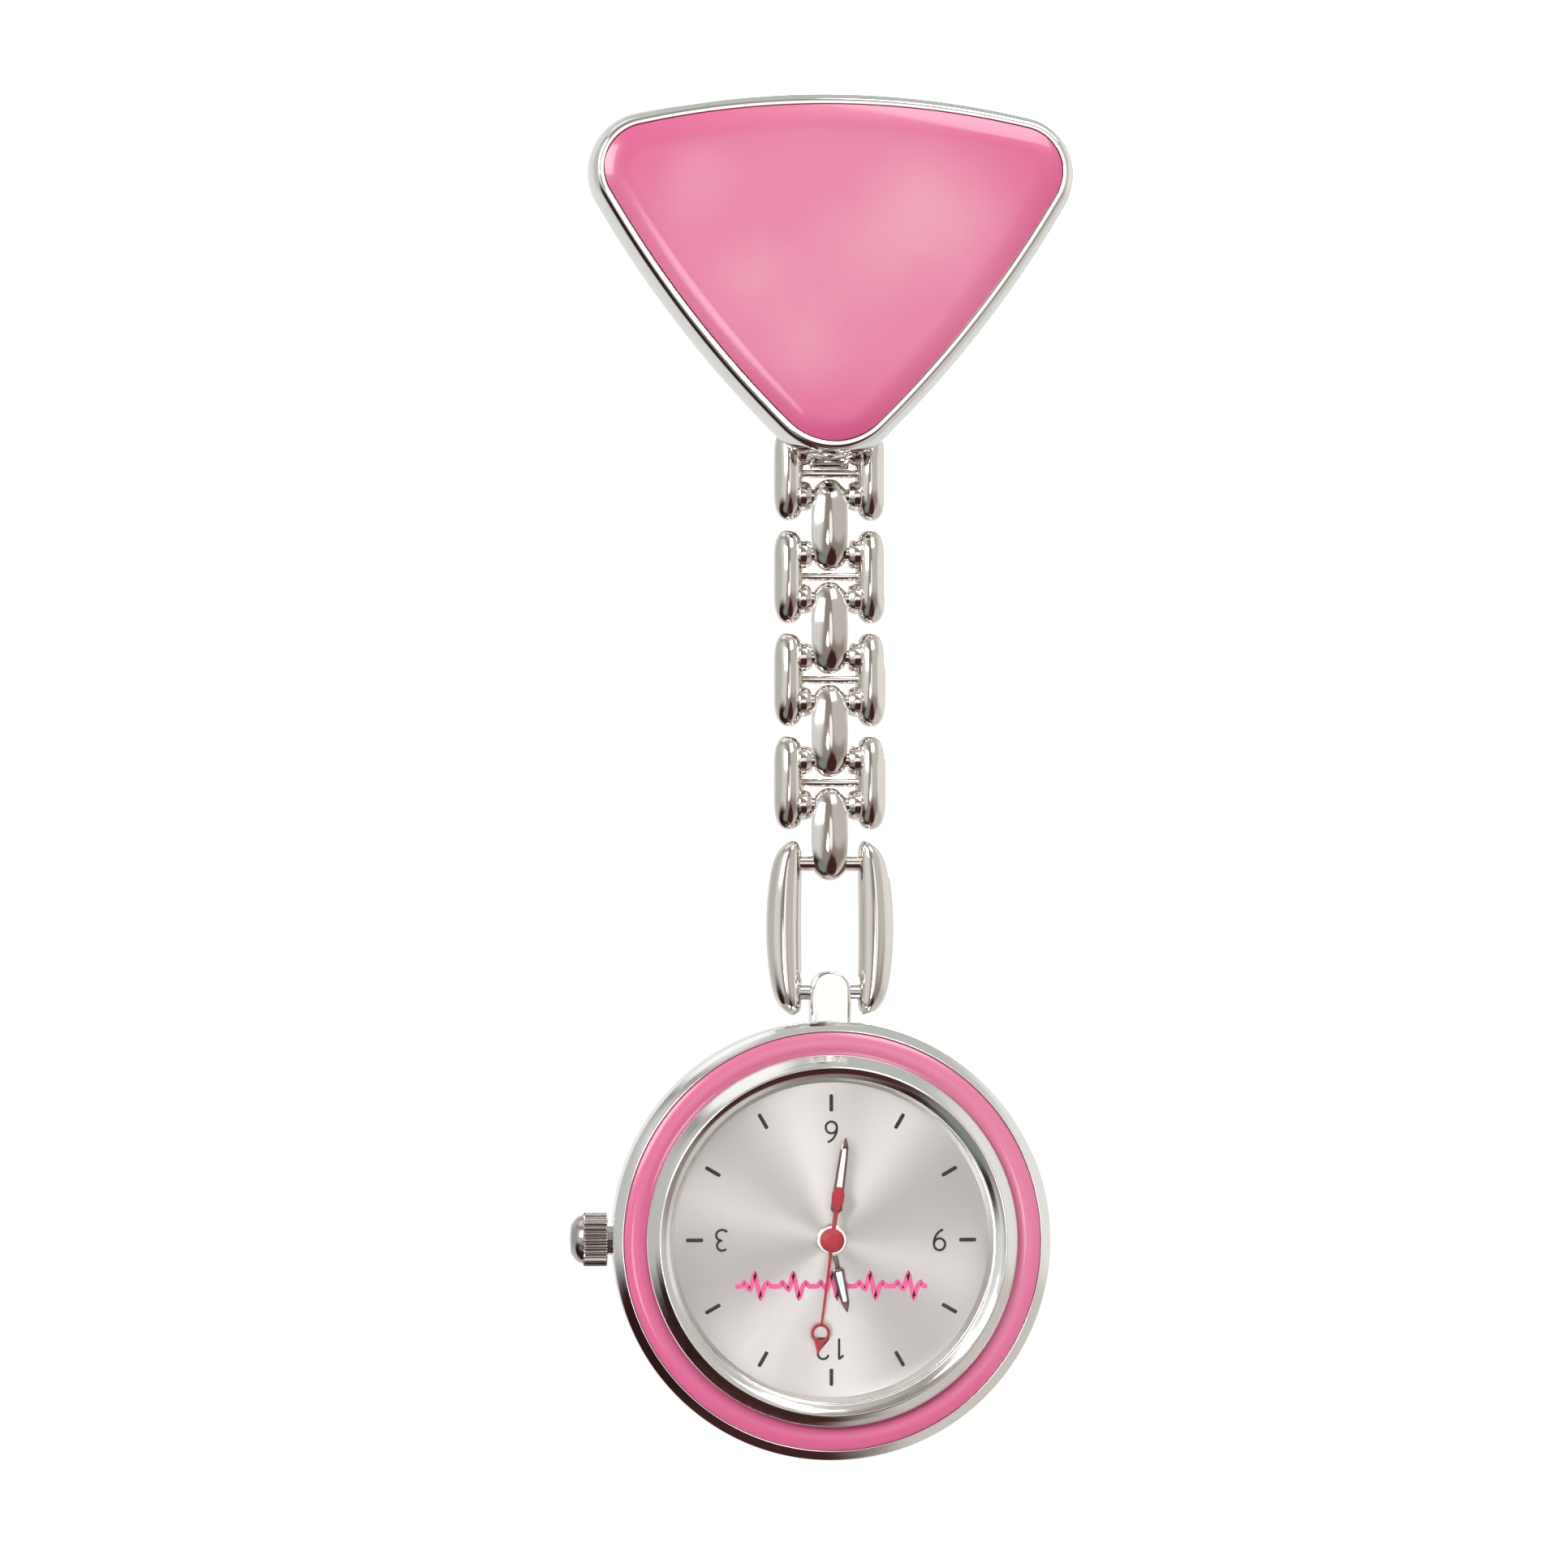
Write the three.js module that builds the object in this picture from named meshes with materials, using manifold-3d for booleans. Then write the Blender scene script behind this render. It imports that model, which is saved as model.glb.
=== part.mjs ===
// A nurse's fob watch that hangs upside down from a brooch: brooch, link chain, bail and a quartz watch.
// Millimetres. The origin is the middle of the brooch's needle, +X is the viewer's right as the watch
// hangs, -Y faces the viewer and +Z is up.
import * as THREE from "three";
import { mergeVertices } from "three/addons/utils/BufferGeometryUtils.js";
import Module from "manifold-3d";

const wasm = await Module();
wasm.setup();

// ---------------------------------------------------------------- driving dimensions

// Brooch: a rounded triangle, point down, drawn by three corner arcs joined by three shallow side arcs.
const CORNER_X = 11.85; // half the distance between the two top corner centres
const CORNER_Z = 1.35;
const CORNER_R = 2.84;
const POINT_Z = -12.07; // centre of the bottom corner
const POINT_R = 3.99;
const TOP_ARC_R = 55.6;
const SIDE_ARC_R = 72;
const FRAME_BORDER = 1.0; // frame outline beyond the panel outline, at the back
const FRAME_RIM = 0.25; // flat front rim around the panel
const FRAME_SLOPE = 2.4; // how far back the side wall's curve runs from the rim
const FRAME_BACK_Y = -2.6;
const FRAME_DEPTH = 2.6;
const POCKET_FLOOR_Y = -3.6;
const PANEL_RISE = 0.6;
const PANEL_EDGE = 2.2; // width of the enamel's rounded edge
const LUG_R = 1.12; // eye around the first pin
const LUG_HALF_WIDTH = 1.35;

// Chain: outer links (two side bars and two cross bars) alternate with single centre links.
const CHAIN_Y = -0.85; // plane of every chain pin and of the case's middle
const FIRST_PIN_Z = -16.34;
const OUTER_SPACING = 2.88; // between an outer link's two pins
const CENTRE_SPACING = 3.77; // between a centre link's two holes
const LONG_SPACING = 8.29; // between the long link's two pins
const PIN_R = 0.5;
const PIN_HOLE_R = 0.62;
const LINK_LENGTH = 6.05;
const LINK_DEPTH = 2.2;
const OUTER_WIDTH = 7.2;
const BAR_WIDTH = 1.95;
const CENTRE_WIDTH = 2.35;
const CENTRE_LENGTH = 5.97;
const BRIDGE_DEPTH = 0.9;
const BRIDGE_HEIGHT = 0.54;
const OUTER_LINKS = 4;
const LONG_END = 1.5; // the long link's arms run this far past its pins
const LONG_HALF_WIDTH = 4.1;
const LONG_GAP = 3.7; // between the arms at their middle
const LONG_PIN_REACH = 3.4; // half the length of the bail pin

// Watch case, in its own group: y is 0 at the case's middle plane, -y is the dial side.
const PIN_TO_CASE = 15.85; // bail pin to the case's centre
const CASE_R = 14.0;
const BORE_R = 11.5;
const ENAMEL_OUTER_R = 13.3;
const ENAMEL_INNER_R = 11.85;
const CHANNEL_Y = -2.2; // floor of the enamel channel
const CASE_FRONT_Y = -2.75;
const CASE_REAR_Y = 2.65;
const CRYSTAL_R = 10.38;
const CRYSTAL_FRONT_Y = -3.62;
const CRYSTAL_BACK_Y = -2.88;
const BEZEL_R = 11.8;
const BEZEL_FRONT_Y = -4.0;
const COVER_REAR_Y = 4.0;
const DIAL_R = 11.0;
const DIAL_FRONT_Y = -1.2;
const DIAL_BACK_Y = -0.8;
const MOVEMENT_R = 9.0;
const BAIL_WIDTH = 2.6;
const FIT = 0.03; // clearance between fixed pieces

// Crown and stem run along -X at this depth.
const STEM_Y = 0.6;
const STEM_R = 0.45;
const TUBE_R = 1.0;
const CROWN_R = 1.75;
const CROWN_INNER_X = -14.3;
const KNURL_LENGTH = 1.5;
const CROWN_LENGTH = 2.4;
const CROWN_FLUTES = 26;

// Hands: degrees clockwise from straight up, and lengths from the centre.
const MINUTE_ANGLE = 7.8;
const HOUR_ANGLE = 167.7;
const SECOND_ANGLE = 187.4;
const MINUTE_LENGTH = 6.6;
const HOUR_LENGTH = 4.7;
const SECOND_LENGTH = 7.3;
const RING_AT = 5.93; // centre of the second hand's ring
const HOUR_FRONT_Y = -1.6;
const MINUTE_FRONT_Y = -1.9;
const SECOND_FRONT_Y = -2.3;
const HAND_THICKNESS = 0.12;
const HAND_CAP_R = 0.77;
const HAND_CAP_HEIGHT = 0.3;

const CASE_SIDES = 48;
const SMALL_SIDES = 12;

const CASE_Z =
  FIRST_PIN_Z - OUTER_LINKS * (OUTER_SPACING + CENTRE_SPACING) - LONG_SPACING - PIN_TO_CASE;

// ---------------------------------------------------------------- materials

const finish = (color, roughness, metalness) =>
  new THREE.MeshStandardMaterial({ color, roughness, metalness });
const chrome = finish(0xd9d9dc, 0.12, 1);
const steel = finish(0xb9bbc0, 0.35, 1);
const brass = finish(0xc9a552, 0.35, 1);
const enamel = finish(0xee6fa5, 0.2, 0);
const silver = finish(0xcfcbc6, 0.3, 1);
const red = finish(0xb3122e, 0.3, 0);
const plastic = finish(0xe9e6dd, 0.5, 0);
const black = finish(0x1a1a1c, 0.6, 0);
const copper = finish(0xb4622e, 0.4, 1);
const green = finish(0x1f6a43, 0.5, 0);
const glass = finish(0xdfe9ec, 0.05, 0);

// ---------------------------------------------------------------- solids

const X = new THREE.Vector3(1, 0, 0);
const Y = new THREE.Vector3(0, 1, 0);
const Z = new THREE.Vector3(0, 0, 1);
const TOWARD_VIEWER = new THREE.Vector3(0, -1, 0);

// Turns a closed geometry into a solid that can be joined and cut.
function solid(geometry) {
  const bare = geometry.clone();
  bare.deleteAttribute("normal");
  bare.deleteAttribute("uv");
  const merged = mergeVertices(bare, 1e-4);
  const vertProperties = merged.attributes.position.array;
  const triVerts = new Uint32Array(merged.index.array);
  return new wasm.Manifold(new wasm.Mesh({ numProp: 3, vertProperties, triVerts }));
}

const join = (...pieces) => pieces.map(asSolid).reduce((whole, piece) => whole.add(piece));
const cut = (piece, ...tools) =>
  tools.map(asSolid).reduce((rest, tool) => rest.subtract(tool), asSolid(piece));
const asSolid = (piece) => (piece.isBufferGeometry ? solid(piece) : piece);

// The solid's surface as a geometry.
function surface(piece) {
  if (piece.isBufferGeometry) return piece;
  const made = piece.getMesh();
  const geometry = new THREE.BufferGeometry();
  geometry.setAttribute("position", new THREE.BufferAttribute(new Float32Array(made.vertProperties), 3));
  geometry.setIndex(new THREE.BufferAttribute(new Uint32Array(made.triVerts), 1));
  geometry.computeVertexNormals();
  return geometry;
}

// Extrudes a drawn outline by `thickness`, with the drawing's two axes and the thickness laid along the
// given directions. The edges are bevelled inwards, so the drawn size is the outer size.
function extrude(shape, thickness, [across, up, out], origin, bevel = {}) {
  const { size = 0, depth = size, steps = 1 } = bevel;
  const geometry = new THREE.ExtrudeGeometry(shape, {
    depth: thickness - 2 * depth,
    bevelEnabled: size > 0,
    bevelSize: size,
    bevelOffset: -size,
    bevelThickness: depth,
    bevelSegments: steps,
    curveSegments: 8,
  });
  geometry.translate(0, 0, size > 0 ? depth : 0);
  geometry.applyMatrix4(new THREE.Matrix4().makeBasis(across, up, out));
  return geometry.translate(...origin);
}

// A piece drawn in x and z as the viewer sees it, from y = back toward the viewer.
const plate = (shape, back, thickness, bevel) =>
  extrude(shape, thickness, [X, Z, TOWARD_VIEWER], [0, back, 0], bevel);

// A piece drawn in y and z as seen from the side, from x = start to x = end.
const slab = (shape, start, end, bevel) => extrude(shape, end - start, [Y, Z, X], [start, 0, 0], bevel);

// A piece drawn in x and y as seen from above, from z = start to z = end.
const layer = (shape, start, end) => extrude(shape, end - start, [X, Y, Z], [0, 0, start]);

const box = (low, high) =>
  new THREE.BoxGeometry(...high.map((value, i) => value - low[i])).translate(
    ...high.map((value, i) => (value + low[i]) / 2),
  );

// A body of revolution about the y axis from [radius, y] points. The points run either way round.
function turned(profile, sides = CASE_SIDES) {
  const points = profile.map(([radius, height]) => new THREE.Vector2(radius, height));
  if (points[0].x > 0) points.push(points[0].clone());
  if (THREE.ShapeUtils.isClockWise(points)) points.reverse();
  return new THREE.LatheGeometry(points, sides);
}

// The same body with its axis along x, its first coordinate being x, centred on the given y and z.
function turnedAlongX(profile, y, z, sides = SMALL_SIDES) {
  const geometry = turned(profile.map(([x, radius]) => [radius, x]), sides);
  const axisToX = new THREE.Matrix4().makeBasis(Y, X, Z.clone().negate());
  return geometry.applyMatrix4(axisToX).translate(0, y, z);
}

// A round bar along x, y or z through the point `at`, whose own coordinate on that axis is ignored.
function rod(axis, radius, start, end, at = [0, 0, 0], sides = SMALL_SIDES) {
  const geometry = new THREE.CylinderGeometry(radius, radius, end - start, sides);
  if (axis === "x") geometry.rotateZ(-Math.PI / 2);
  if (axis === "z") geometry.rotateX(Math.PI / 2);
  const centre = [...at];
  centre["xyz".indexOf(axis)] = (start + end) / 2;
  return geometry.translate(...centre);
}

// A straight-sided ring about the y axis.
const ring = (inner, outer, low, high, sides) =>
  turned([[inner, low], [outer, low], [outer, high], [inner, high]], sides);

const polygon = (points) => new THREE.Shape(points.map(([x, y]) => new THREE.Vector2(x, y)));

// |x / a|^n + |y / b|^n = 1: an oval for n = 2 that squares up as n grows.
function superellipse(a, b, n, count, [x, y] = [0, 0]) {
  const power = (value) => Math.sign(value) * Math.abs(value) ** (2 / n);
  return polygon(
    Array.from({ length: count }, (_, i) => {
      const t = (2 * Math.PI * (i + 0.5)) / count;
      return [x + a * power(Math.cos(t)), y + b * power(Math.sin(t))];
    }),
  );
}

const circle = (x, y, radius, sides = SMALL_SIDES) =>
  polygon(
    Array.from({ length: sides }, (_, i) => {
      const t = (2 * Math.PI * (i + 0.5)) / sides;
      return [x + radius * Math.cos(t), y + radius * Math.sin(t)];
    }),
  );

const root = new THREE.Group();

function add(group, name, piece, material) {
  const mesh = new THREE.Mesh(surface(piece), material);
  mesh.name = name;
  group.add(mesh);
  return mesh;
}

// ---------------------------------------------------------------- brooch

// The rounded triangle, grown outwards by `grow`. Each side arc touches its two corner arcs, so its
// centre lies where circles of (side radius - corner radius) about the two corner centres cross.
function triangleOutline(grow, cornerSteps = 5, sideSteps = 5) {
  const corners = [
    { x: -CORNER_X, z: CORNER_Z, r: CORNER_R },
    { x: CORNER_X, z: CORNER_Z, r: CORNER_R },
    { x: 0, z: POINT_Z, r: POINT_R },
  ];
  const sideRadii = [TOP_ARC_R, SIDE_ARC_R, SIDE_ARC_R];
  const sides = corners.map((a, i) => {
    const b = corners[(i + 1) % 3];
    const [toA, toB] = [sideRadii[i] - a.r, sideRadii[i] - b.r];
    const apart = Math.hypot(b.x - a.x, b.z - a.z);
    const [ux, uz] = [(b.x - a.x) / apart, (b.z - a.z) / apart];
    const along = (toA ** 2 - toB ** 2 + apart ** 2) / (2 * apart);
    const inward = Math.sqrt(toA ** 2 - along ** 2);
    return { x: a.x + ux * along + uz * inward, z: a.z + uz * along - ux * inward, r: sideRadii[i] };
  });
  const points = [];
  const arc = (centre, from, to, steps, skipEnds) => {
    const turn = THREE.MathUtils.euclideanModulo(from - to, 2 * Math.PI);
    for (let k = skipEnds ? 1 : 0; k <= steps - (skipEnds ? 1 : 0); k++) {
      const angle = from - (turn * k) / steps;
      const radius = centre.r + grow;
      points.push([centre.x + radius * Math.cos(angle), centre.z + radius * Math.sin(angle)]);
    }
  };
  corners.forEach((corner, i) => {
    const [before, after] = [sides[(i + 2) % 3], sides[i]];
    const start = Math.atan2(corner.z - before.z, corner.x - before.x);
    const end = Math.atan2(corner.z - after.z, corner.x - after.x);
    const next = corners[(i + 1) % 3];
    arc(corner, start, end, cornerSteps, false);
    arc(after, end, Math.atan2(next.z - after.z, next.x - after.x), sideSteps, true);
  });
  return polygon(points.reverse());
}

const FRAME_FRONT_Y = FRAME_BACK_Y - FRAME_DEPTH;

// The hanging lug behind the point: a web from the frame's back that ends in an eye around the first pin.
function broochLug() {
  const outline = new THREE.Shape();
  outline.moveTo(FRAME_BACK_Y - 0.2, FIRST_PIN_Z + 3.6);
  outline.lineTo(FRAME_BACK_Y - 0.2, FIRST_PIN_Z + 0.6);
  outline.lineTo(CHAIN_Y, FIRST_PIN_Z - LUG_R);
  outline.absarc(CHAIN_Y, FIRST_PIN_Z, LUG_R, -Math.PI / 2, Math.PI / 2, false);
  return slab(outline, -LUG_HALF_WIDTH, LUG_HALF_WIDTH, { size: 0.3 });
}

// The rear part of a bevelled plate is cut off, which leaves only its front edge curved.
const behind = (y) => box([-20, y, -30], [20, y + 10, 20]);

function broochFrame() {
  const bevel = { size: FRAME_BORDER - FRAME_RIM, depth: FRAME_SLOPE, steps: 3 };
  const whole = plate(triangleOutline(FRAME_BORDER), FRAME_BACK_Y + FRAME_DEPTH, 2 * FRAME_DEPTH, bevel);
  const pocket = plate(triangleOutline(0), POCKET_FLOOR_Y, FRAME_DEPTH);
  const hole = rod("x", PIN_HOLE_R, -3, 3, [0, CHAIN_Y, FIRST_PIN_Z]);
  return cut(join(cut(whole, behind(FRAME_BACK_Y), pocket), broochLug()), hole);
}

// The enamel fills the pocket and stands in a soft dome above the rim.
function enamelPanel() {
  const back = POCKET_FLOOR_Y - FIT;
  const thickness = back - FRAME_FRONT_Y + PANEL_RISE;
  const bevel = { size: PANEL_EDGE, depth: PANEL_RISE, steps: 3 };
  const whole = plate(triangleOutline(-FIT), back + 1, thickness + 1, bevel);
  return cut(whole, behind(back));
}

const BAR_HALF_LENGTH = 11.9;
const BAR_HALF_HEIGHT = 1.6;
const BASE_THICKNESS = 0.4;
const BASE_Y = FRAME_BACK_Y + FIT + BASE_THICKNESS; // the base bar's rear face
const NEEDLE_HINGE_X = -10.6;
const NEEDLE_R = 0.38;
const CATCH_X = 10.6;
const CATCH_GAP = 0.95;

// An ear of the needle's hinge, with the rivet's hole.
function needleEar(low, high) {
  const outline = polygon([
    [NEEDLE_HINGE_X - 0.75, BASE_Y - 0.1],
    [NEEDLE_HINGE_X + 0.75, BASE_Y - 0.1],
    [NEEDLE_HINGE_X + 0.75, 0.4],
    [NEEDLE_HINGE_X + 0.35, 0.75],
    [NEEDLE_HINGE_X - 0.35, 0.75],
    [NEEDLE_HINGE_X - 0.75, 0.4],
  ]);
  return layer(outline, low, high);
}

// A cheek of the catch: a hook around the needle's tip, open to the rear.
function catchCheek(start, end) {
  const outline = polygon([
    [BASE_Y - 0.1, -1.0],
    [0.3, -1.25],
    [1.0, -0.85],
    [1.0, -CATCH_GAP / 2],
    [-0.45, -CATCH_GAP / 2],
    [-0.45, CATCH_GAP / 2],
    [1.0, CATCH_GAP / 2],
    [1.0, 0.85],
    [0.3, 1.25],
    [BASE_Y - 0.1, 1.0],
  ]);
  return slab(outline, start, end);
}

function pinBaseBar() {
  const bar = plate(superellipse(BAR_HALF_LENGTH, BAR_HALF_HEIGHT, 6, 24), BASE_Y, BASE_THICKNESS);
  const ears = [needleEar(0.7, 1.1), needleEar(-1.1, -0.7)];
  const [near, far] = [0.65, 1.05];
  const cheeks = [catchCheek(CATCH_X - far, CATCH_X - near), catchCheek(CATCH_X + near, CATCH_X + far)];
  const rivetHole = rod("z", 0.33, -2, 2, [NEEDLE_HINGE_X, 0, 0]);
  return cut(join(bar, ...ears, ...cheeks), rivetHole);
}

// The needle: an eye on the rivet and a shank that tapers to its point beyond the catch.
function broochNeedle() {
  const eye = rod("z", 0.7, -0.62, 0.62, [NEEDLE_HINGE_X, 0, 0]);
  const shank = turnedAlongX(
    [
      [NEEDLE_HINGE_X + 0.4, 0],
      [NEEDLE_HINGE_X + 0.4, NEEDLE_R],
      [8.5, NEEDLE_R],
      [12.3, 0.08],
      [12.4, 0],
    ],
    0,
    0,
    8,
  );
  return cut(join(eye, shank), rod("z", 0.36, -1, 1, [NEEDLE_HINGE_X, 0, 0]));
}

// The roller of the safety catch, open to the rear, with its finger tab.
function safetyCatch() {
  const roller = rod("x", 1.15, CATCH_X - 0.6, CATCH_X + 0.6, [0, 0, 0], 16);
  const tab = box([CATCH_X - 0.6, 0.3, -1.9], [CATCH_X + 0.6, 0.75, -0.8]);
  const slot = box([CATCH_X - 1, -0.45, -CATCH_GAP / 2], [CATCH_X + 1, 2, CATCH_GAP / 2]);
  return cut(join(roller, tab), slot);
}

add(root, "brooch_frame", broochFrame(), chrome);
add(root, "enamel_panel", enamelPanel(), enamel);
add(root, "pin_base_bar", pinBaseBar(), steel);
add(root, "brooch_needle", broochNeedle(), steel);
add(root, "needle_rivet", rod("z", 0.3, -1.25, 1.25, [NEEDLE_HINGE_X, 0, 0]), steel);
add(root, "safety_catch", safetyCatch(), steel);

// ---------------------------------------------------------------- chain

// A cross bar between x = -halfLength and +halfLength at height z.
const crossBar = (z, halfLength) => rod("x", PIN_R, -halfLength, halfLength, [0, CHAIN_Y, z]);

// One outer link whose upper pin is at height top: two bars, two cross bars and a bridge between them.
function outerLink(top) {
  const middle = top - OUTER_SPACING / 2;
  const outline = superellipse(LINK_DEPTH / 2, LINK_LENGTH / 2, 3, 16, [CHAIN_Y, middle]);
  const [inner, outer] = [OUTER_WIDTH / 2 - BAR_WIDTH, OUTER_WIDTH / 2];
  const edge = { size: 0.45 };
  const bars = [slab(outline, -outer, -inner, edge), slab(outline, inner, outer, edge)];
  const reach = inner + 0.5;
  const bridge = box(
    [-reach, CHAIN_Y - BRIDGE_DEPTH / 2, middle - BRIDGE_HEIGHT / 2],
    [reach, CHAIN_Y + BRIDGE_DEPTH / 2, middle + BRIDGE_HEIGHT / 2],
  );
  return join(...bars, bridge, crossBar(top, reach), crossBar(top - OUTER_SPACING, reach));
}

// One centre link whose upper hole is at height top.
function centreLink(top) {
  const middle = top - CENTRE_SPACING / 2;
  const outline = superellipse(LINK_DEPTH / 2, CENTRE_LENGTH / 2, 2.3, 20, [CHAIN_Y, middle]);
  const body = slab(outline, -CENTRE_WIDTH / 2, CENTRE_WIDTH / 2, { size: 0.3 });
  const holes = [top, top - CENTRE_SPACING].map((z) => rod("x", PIN_HOLE_R, -2, 2, [0, CHAIN_Y, z]));
  return cut(body, ...holes);
}

// One arm of the long link, bowed outwards and narrower at its ends, on the side of `sign`.
function longArm(sign, top) {
  const steps = 12;
  const height = LONG_SPACING + 2 * LONG_END;
  const outer = [];
  const inner = [];
  for (let i = 0; i <= steps; i++) {
    const t = (2 * i) / steps - 1;
    const z = top + LONG_END - (height * i) / steps;
    const closed = Math.abs(t) === 1 ? 0.2 : 0;
    outer.push([sign * (LONG_HALF_WIDTH - 0.7 * t ** 2 - 0.6 * t ** 8 - closed), z]);
    inner.push([sign * (LONG_GAP / 2 - 0.1 * t ** 2 + closed), z]);
  }
  const points = [...outer, ...inner.reverse()];
  return plate(polygon(points), CHAIN_Y + LINK_DEPTH / 2, LINK_DEPTH, { size: 0.35 });
}

function longLink(top) {
  const bottom = top - LONG_SPACING;
  const arms = join(longArm(-1, top), longArm(1, top), crossBar(top, LONG_PIN_REACH - 0.8));
  return cut(arms, rod("x", PIN_R + FIT, -5, 5, [0, CHAIN_Y, bottom]));
}

let pinZ = FIRST_PIN_Z;
for (let i = 1; i <= OUTER_LINKS; i++) {
  add(root, `outer_link_${i}`, outerLink(pinZ), chrome);
  pinZ -= OUTER_SPACING;
  add(root, `centre_link_${i}`, centreLink(pinZ), chrome);
  pinZ -= CENTRE_SPACING;
}
add(root, "long_link", longLink(pinZ), chrome);
pinZ -= LONG_SPACING;
add(root, "bail_pin", crossBar(pinZ, LONG_PIN_REACH), steel);

// ---------------------------------------------------------------- watch case

const watch = new THREE.Group();
watch.position.set(0, CHAIN_Y, CASE_Z);
root.add(watch);

// The bail's tongue: round-topped, joined to the case's rim, bored for the pin.
function bailTongue() {
  const half = BAIL_WIDTH / 2;
  const outline = new THREE.Shape();
  outline.moveTo(-half, CASE_R - 0.5);
  outline.lineTo(half, CASE_R - 0.5);
  outline.absarc(0, PIN_TO_CASE + 0.15, half, 0, Math.PI, false);
  return plate(outline, LINK_DEPTH / 2, LINK_DEPTH, { size: 0.3 });
}

function caseBody() {
  const shell = turned([
    [BORE_R, CHANNEL_Y],
    [ENAMEL_OUTER_R + FIT, CHANNEL_Y],
    [ENAMEL_OUTER_R + FIT, CASE_FRONT_Y],
    [CASE_R - 0.25, CASE_FRONT_Y],
    [CASE_R, CASE_FRONT_Y + 0.3],
    [CASE_R, CASE_REAR_Y - 0.4],
    [CASE_R - 0.4, CASE_REAR_Y],
    [12.3, CASE_REAR_Y],
    [12.3, CASE_REAR_Y - 0.5],
    [BORE_R, CASE_REAR_Y - 0.5],
  ]);
  const pinHole = rod("x", PIN_HOLE_R, -2, 2, [0, 0, PIN_TO_CASE]);
  const tubeHole = rod("x", TUBE_R + FIT, -15, -11, [0, STEM_Y, 0]);
  return cut(join(shell, bailTongue()), pinHole, tubeHole);
}

const enamelRing = () =>
  turned([
    [ENAMEL_INNER_R, CHANNEL_Y - FIT],
    [ENAMEL_OUTER_R, CHANNEL_Y - FIT],
    [ENAMEL_OUTER_R, CASE_FRONT_Y + 0.05],
    [(ENAMEL_INNER_R + ENAMEL_OUTER_R) / 2, CASE_FRONT_Y - 0.15],
    [ENAMEL_INNER_R, CASE_FRONT_Y + 0.05],
  ]);

// The bezel's neck sits in the case's bore; its rounded top stands above the enamel and holds the crystal.
const bezel = () =>
  turned([
    [10.0, DIAL_FRONT_Y - 0.1],
    [BORE_R - 0.05, DIAL_FRONT_Y - 0.1],
    [BORE_R - 0.05, CHANNEL_Y - FIT],
    [BEZEL_R, CHANNEL_Y - FIT],
    [BEZEL_R, -2.95],
    [11.7, -3.4],
    [11.4, -3.8],
    [11.0, BEZEL_FRONT_Y],
    [10.8, -3.93],
    [10.65, CRYSTAL_FRONT_Y],
    [10.65, CRYSTAL_BACK_Y + FIT],
    [10.2, CRYSTAL_BACK_Y + FIT],
  ]);

const crystal = () =>
  turned([
    [0, CRYSTAL_BACK_Y],
    [CRYSTAL_R, CRYSTAL_BACK_Y],
    [CRYSTAL_R, CRYSTAL_FRONT_Y + 0.1],
    [CRYSTAL_R - 0.1, CRYSTAL_FRONT_Y],
    [0, CRYSTAL_FRONT_Y],
  ]);

const caseBack = () =>
  turned([
    [0, CASE_REAR_Y + FIT],
    [10.6, CASE_REAR_Y + FIT],
    [10.6, 2.2],
    [BORE_R - 0.1, 2.2],
    [BORE_R - 0.1, CASE_REAR_Y + FIT],
    [13.3, CASE_REAR_Y + FIT],
    [13.3, 3.15],
    [12.9, 3.4],
    [11.0, 3.45],
    [10.4, COVER_REAR_Y],
    [0, COVER_REAR_Y],
  ]);

// The lever notch at the bottom edge, where a knife lifts the snap back.
const leverNotch = box([-1.5, CASE_REAR_Y - 1, -14], [1.5, CASE_REAR_Y + 0.35, -12.8]);

add(watch, "case_body", caseBody(), chrome);
add(watch, "enamel_ring", enamelRing(), enamel);
add(watch, "bezel", bezel(), chrome);
add(watch, "crystal", crystal(), glass);
const crystalGasket = ring(CRYSTAL_R + FIT, 10.62, CRYSTAL_FRONT_Y + 0.12, CRYSTAL_BACK_Y);
add(watch, "crystal_gasket", crystalGasket, plastic);
add(watch, "case_back", cut(caseBack(), leverNotch), steel);
add(watch, "back_gasket", ring(11.55, 12.27, CASE_REAR_Y - 0.47, CASE_REAR_Y), black);
add(watch, "dial", ring(0.8, DIAL_R, DIAL_FRONT_Y, DIAL_BACK_Y), silver);

const stemNotch = box([-12, STEM_Y - 1.05, -1.1], [-8, 3, 1.1]);
const holderRing = ring(MOVEMENT_R + 0.1, BORE_R - 0.1, -0.77, 2.15);
add(watch, "movement_holder", cut(holderRing, stemNotch), plastic);

// ---------------------------------------------------------------- crown and stem

// The crown's fluted band, drawn as seen along the stem.
function flutedBand() {
  const points = [];
  for (let i = 0; i < CROWN_FLUTES; i++) {
    for (const [step, radius] of [[0, CROWN_R], [0.5, CROWN_R - 0.14]]) {
      const angle = (2 * Math.PI * (i + step)) / CROWN_FLUTES;
      points.push([STEM_Y + radius * Math.cos(angle), radius * Math.sin(angle)]);
    }
  }
  return slab(polygon(points), CROWN_INNER_X - KNURL_LENGTH, CROWN_INNER_X);
}

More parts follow.
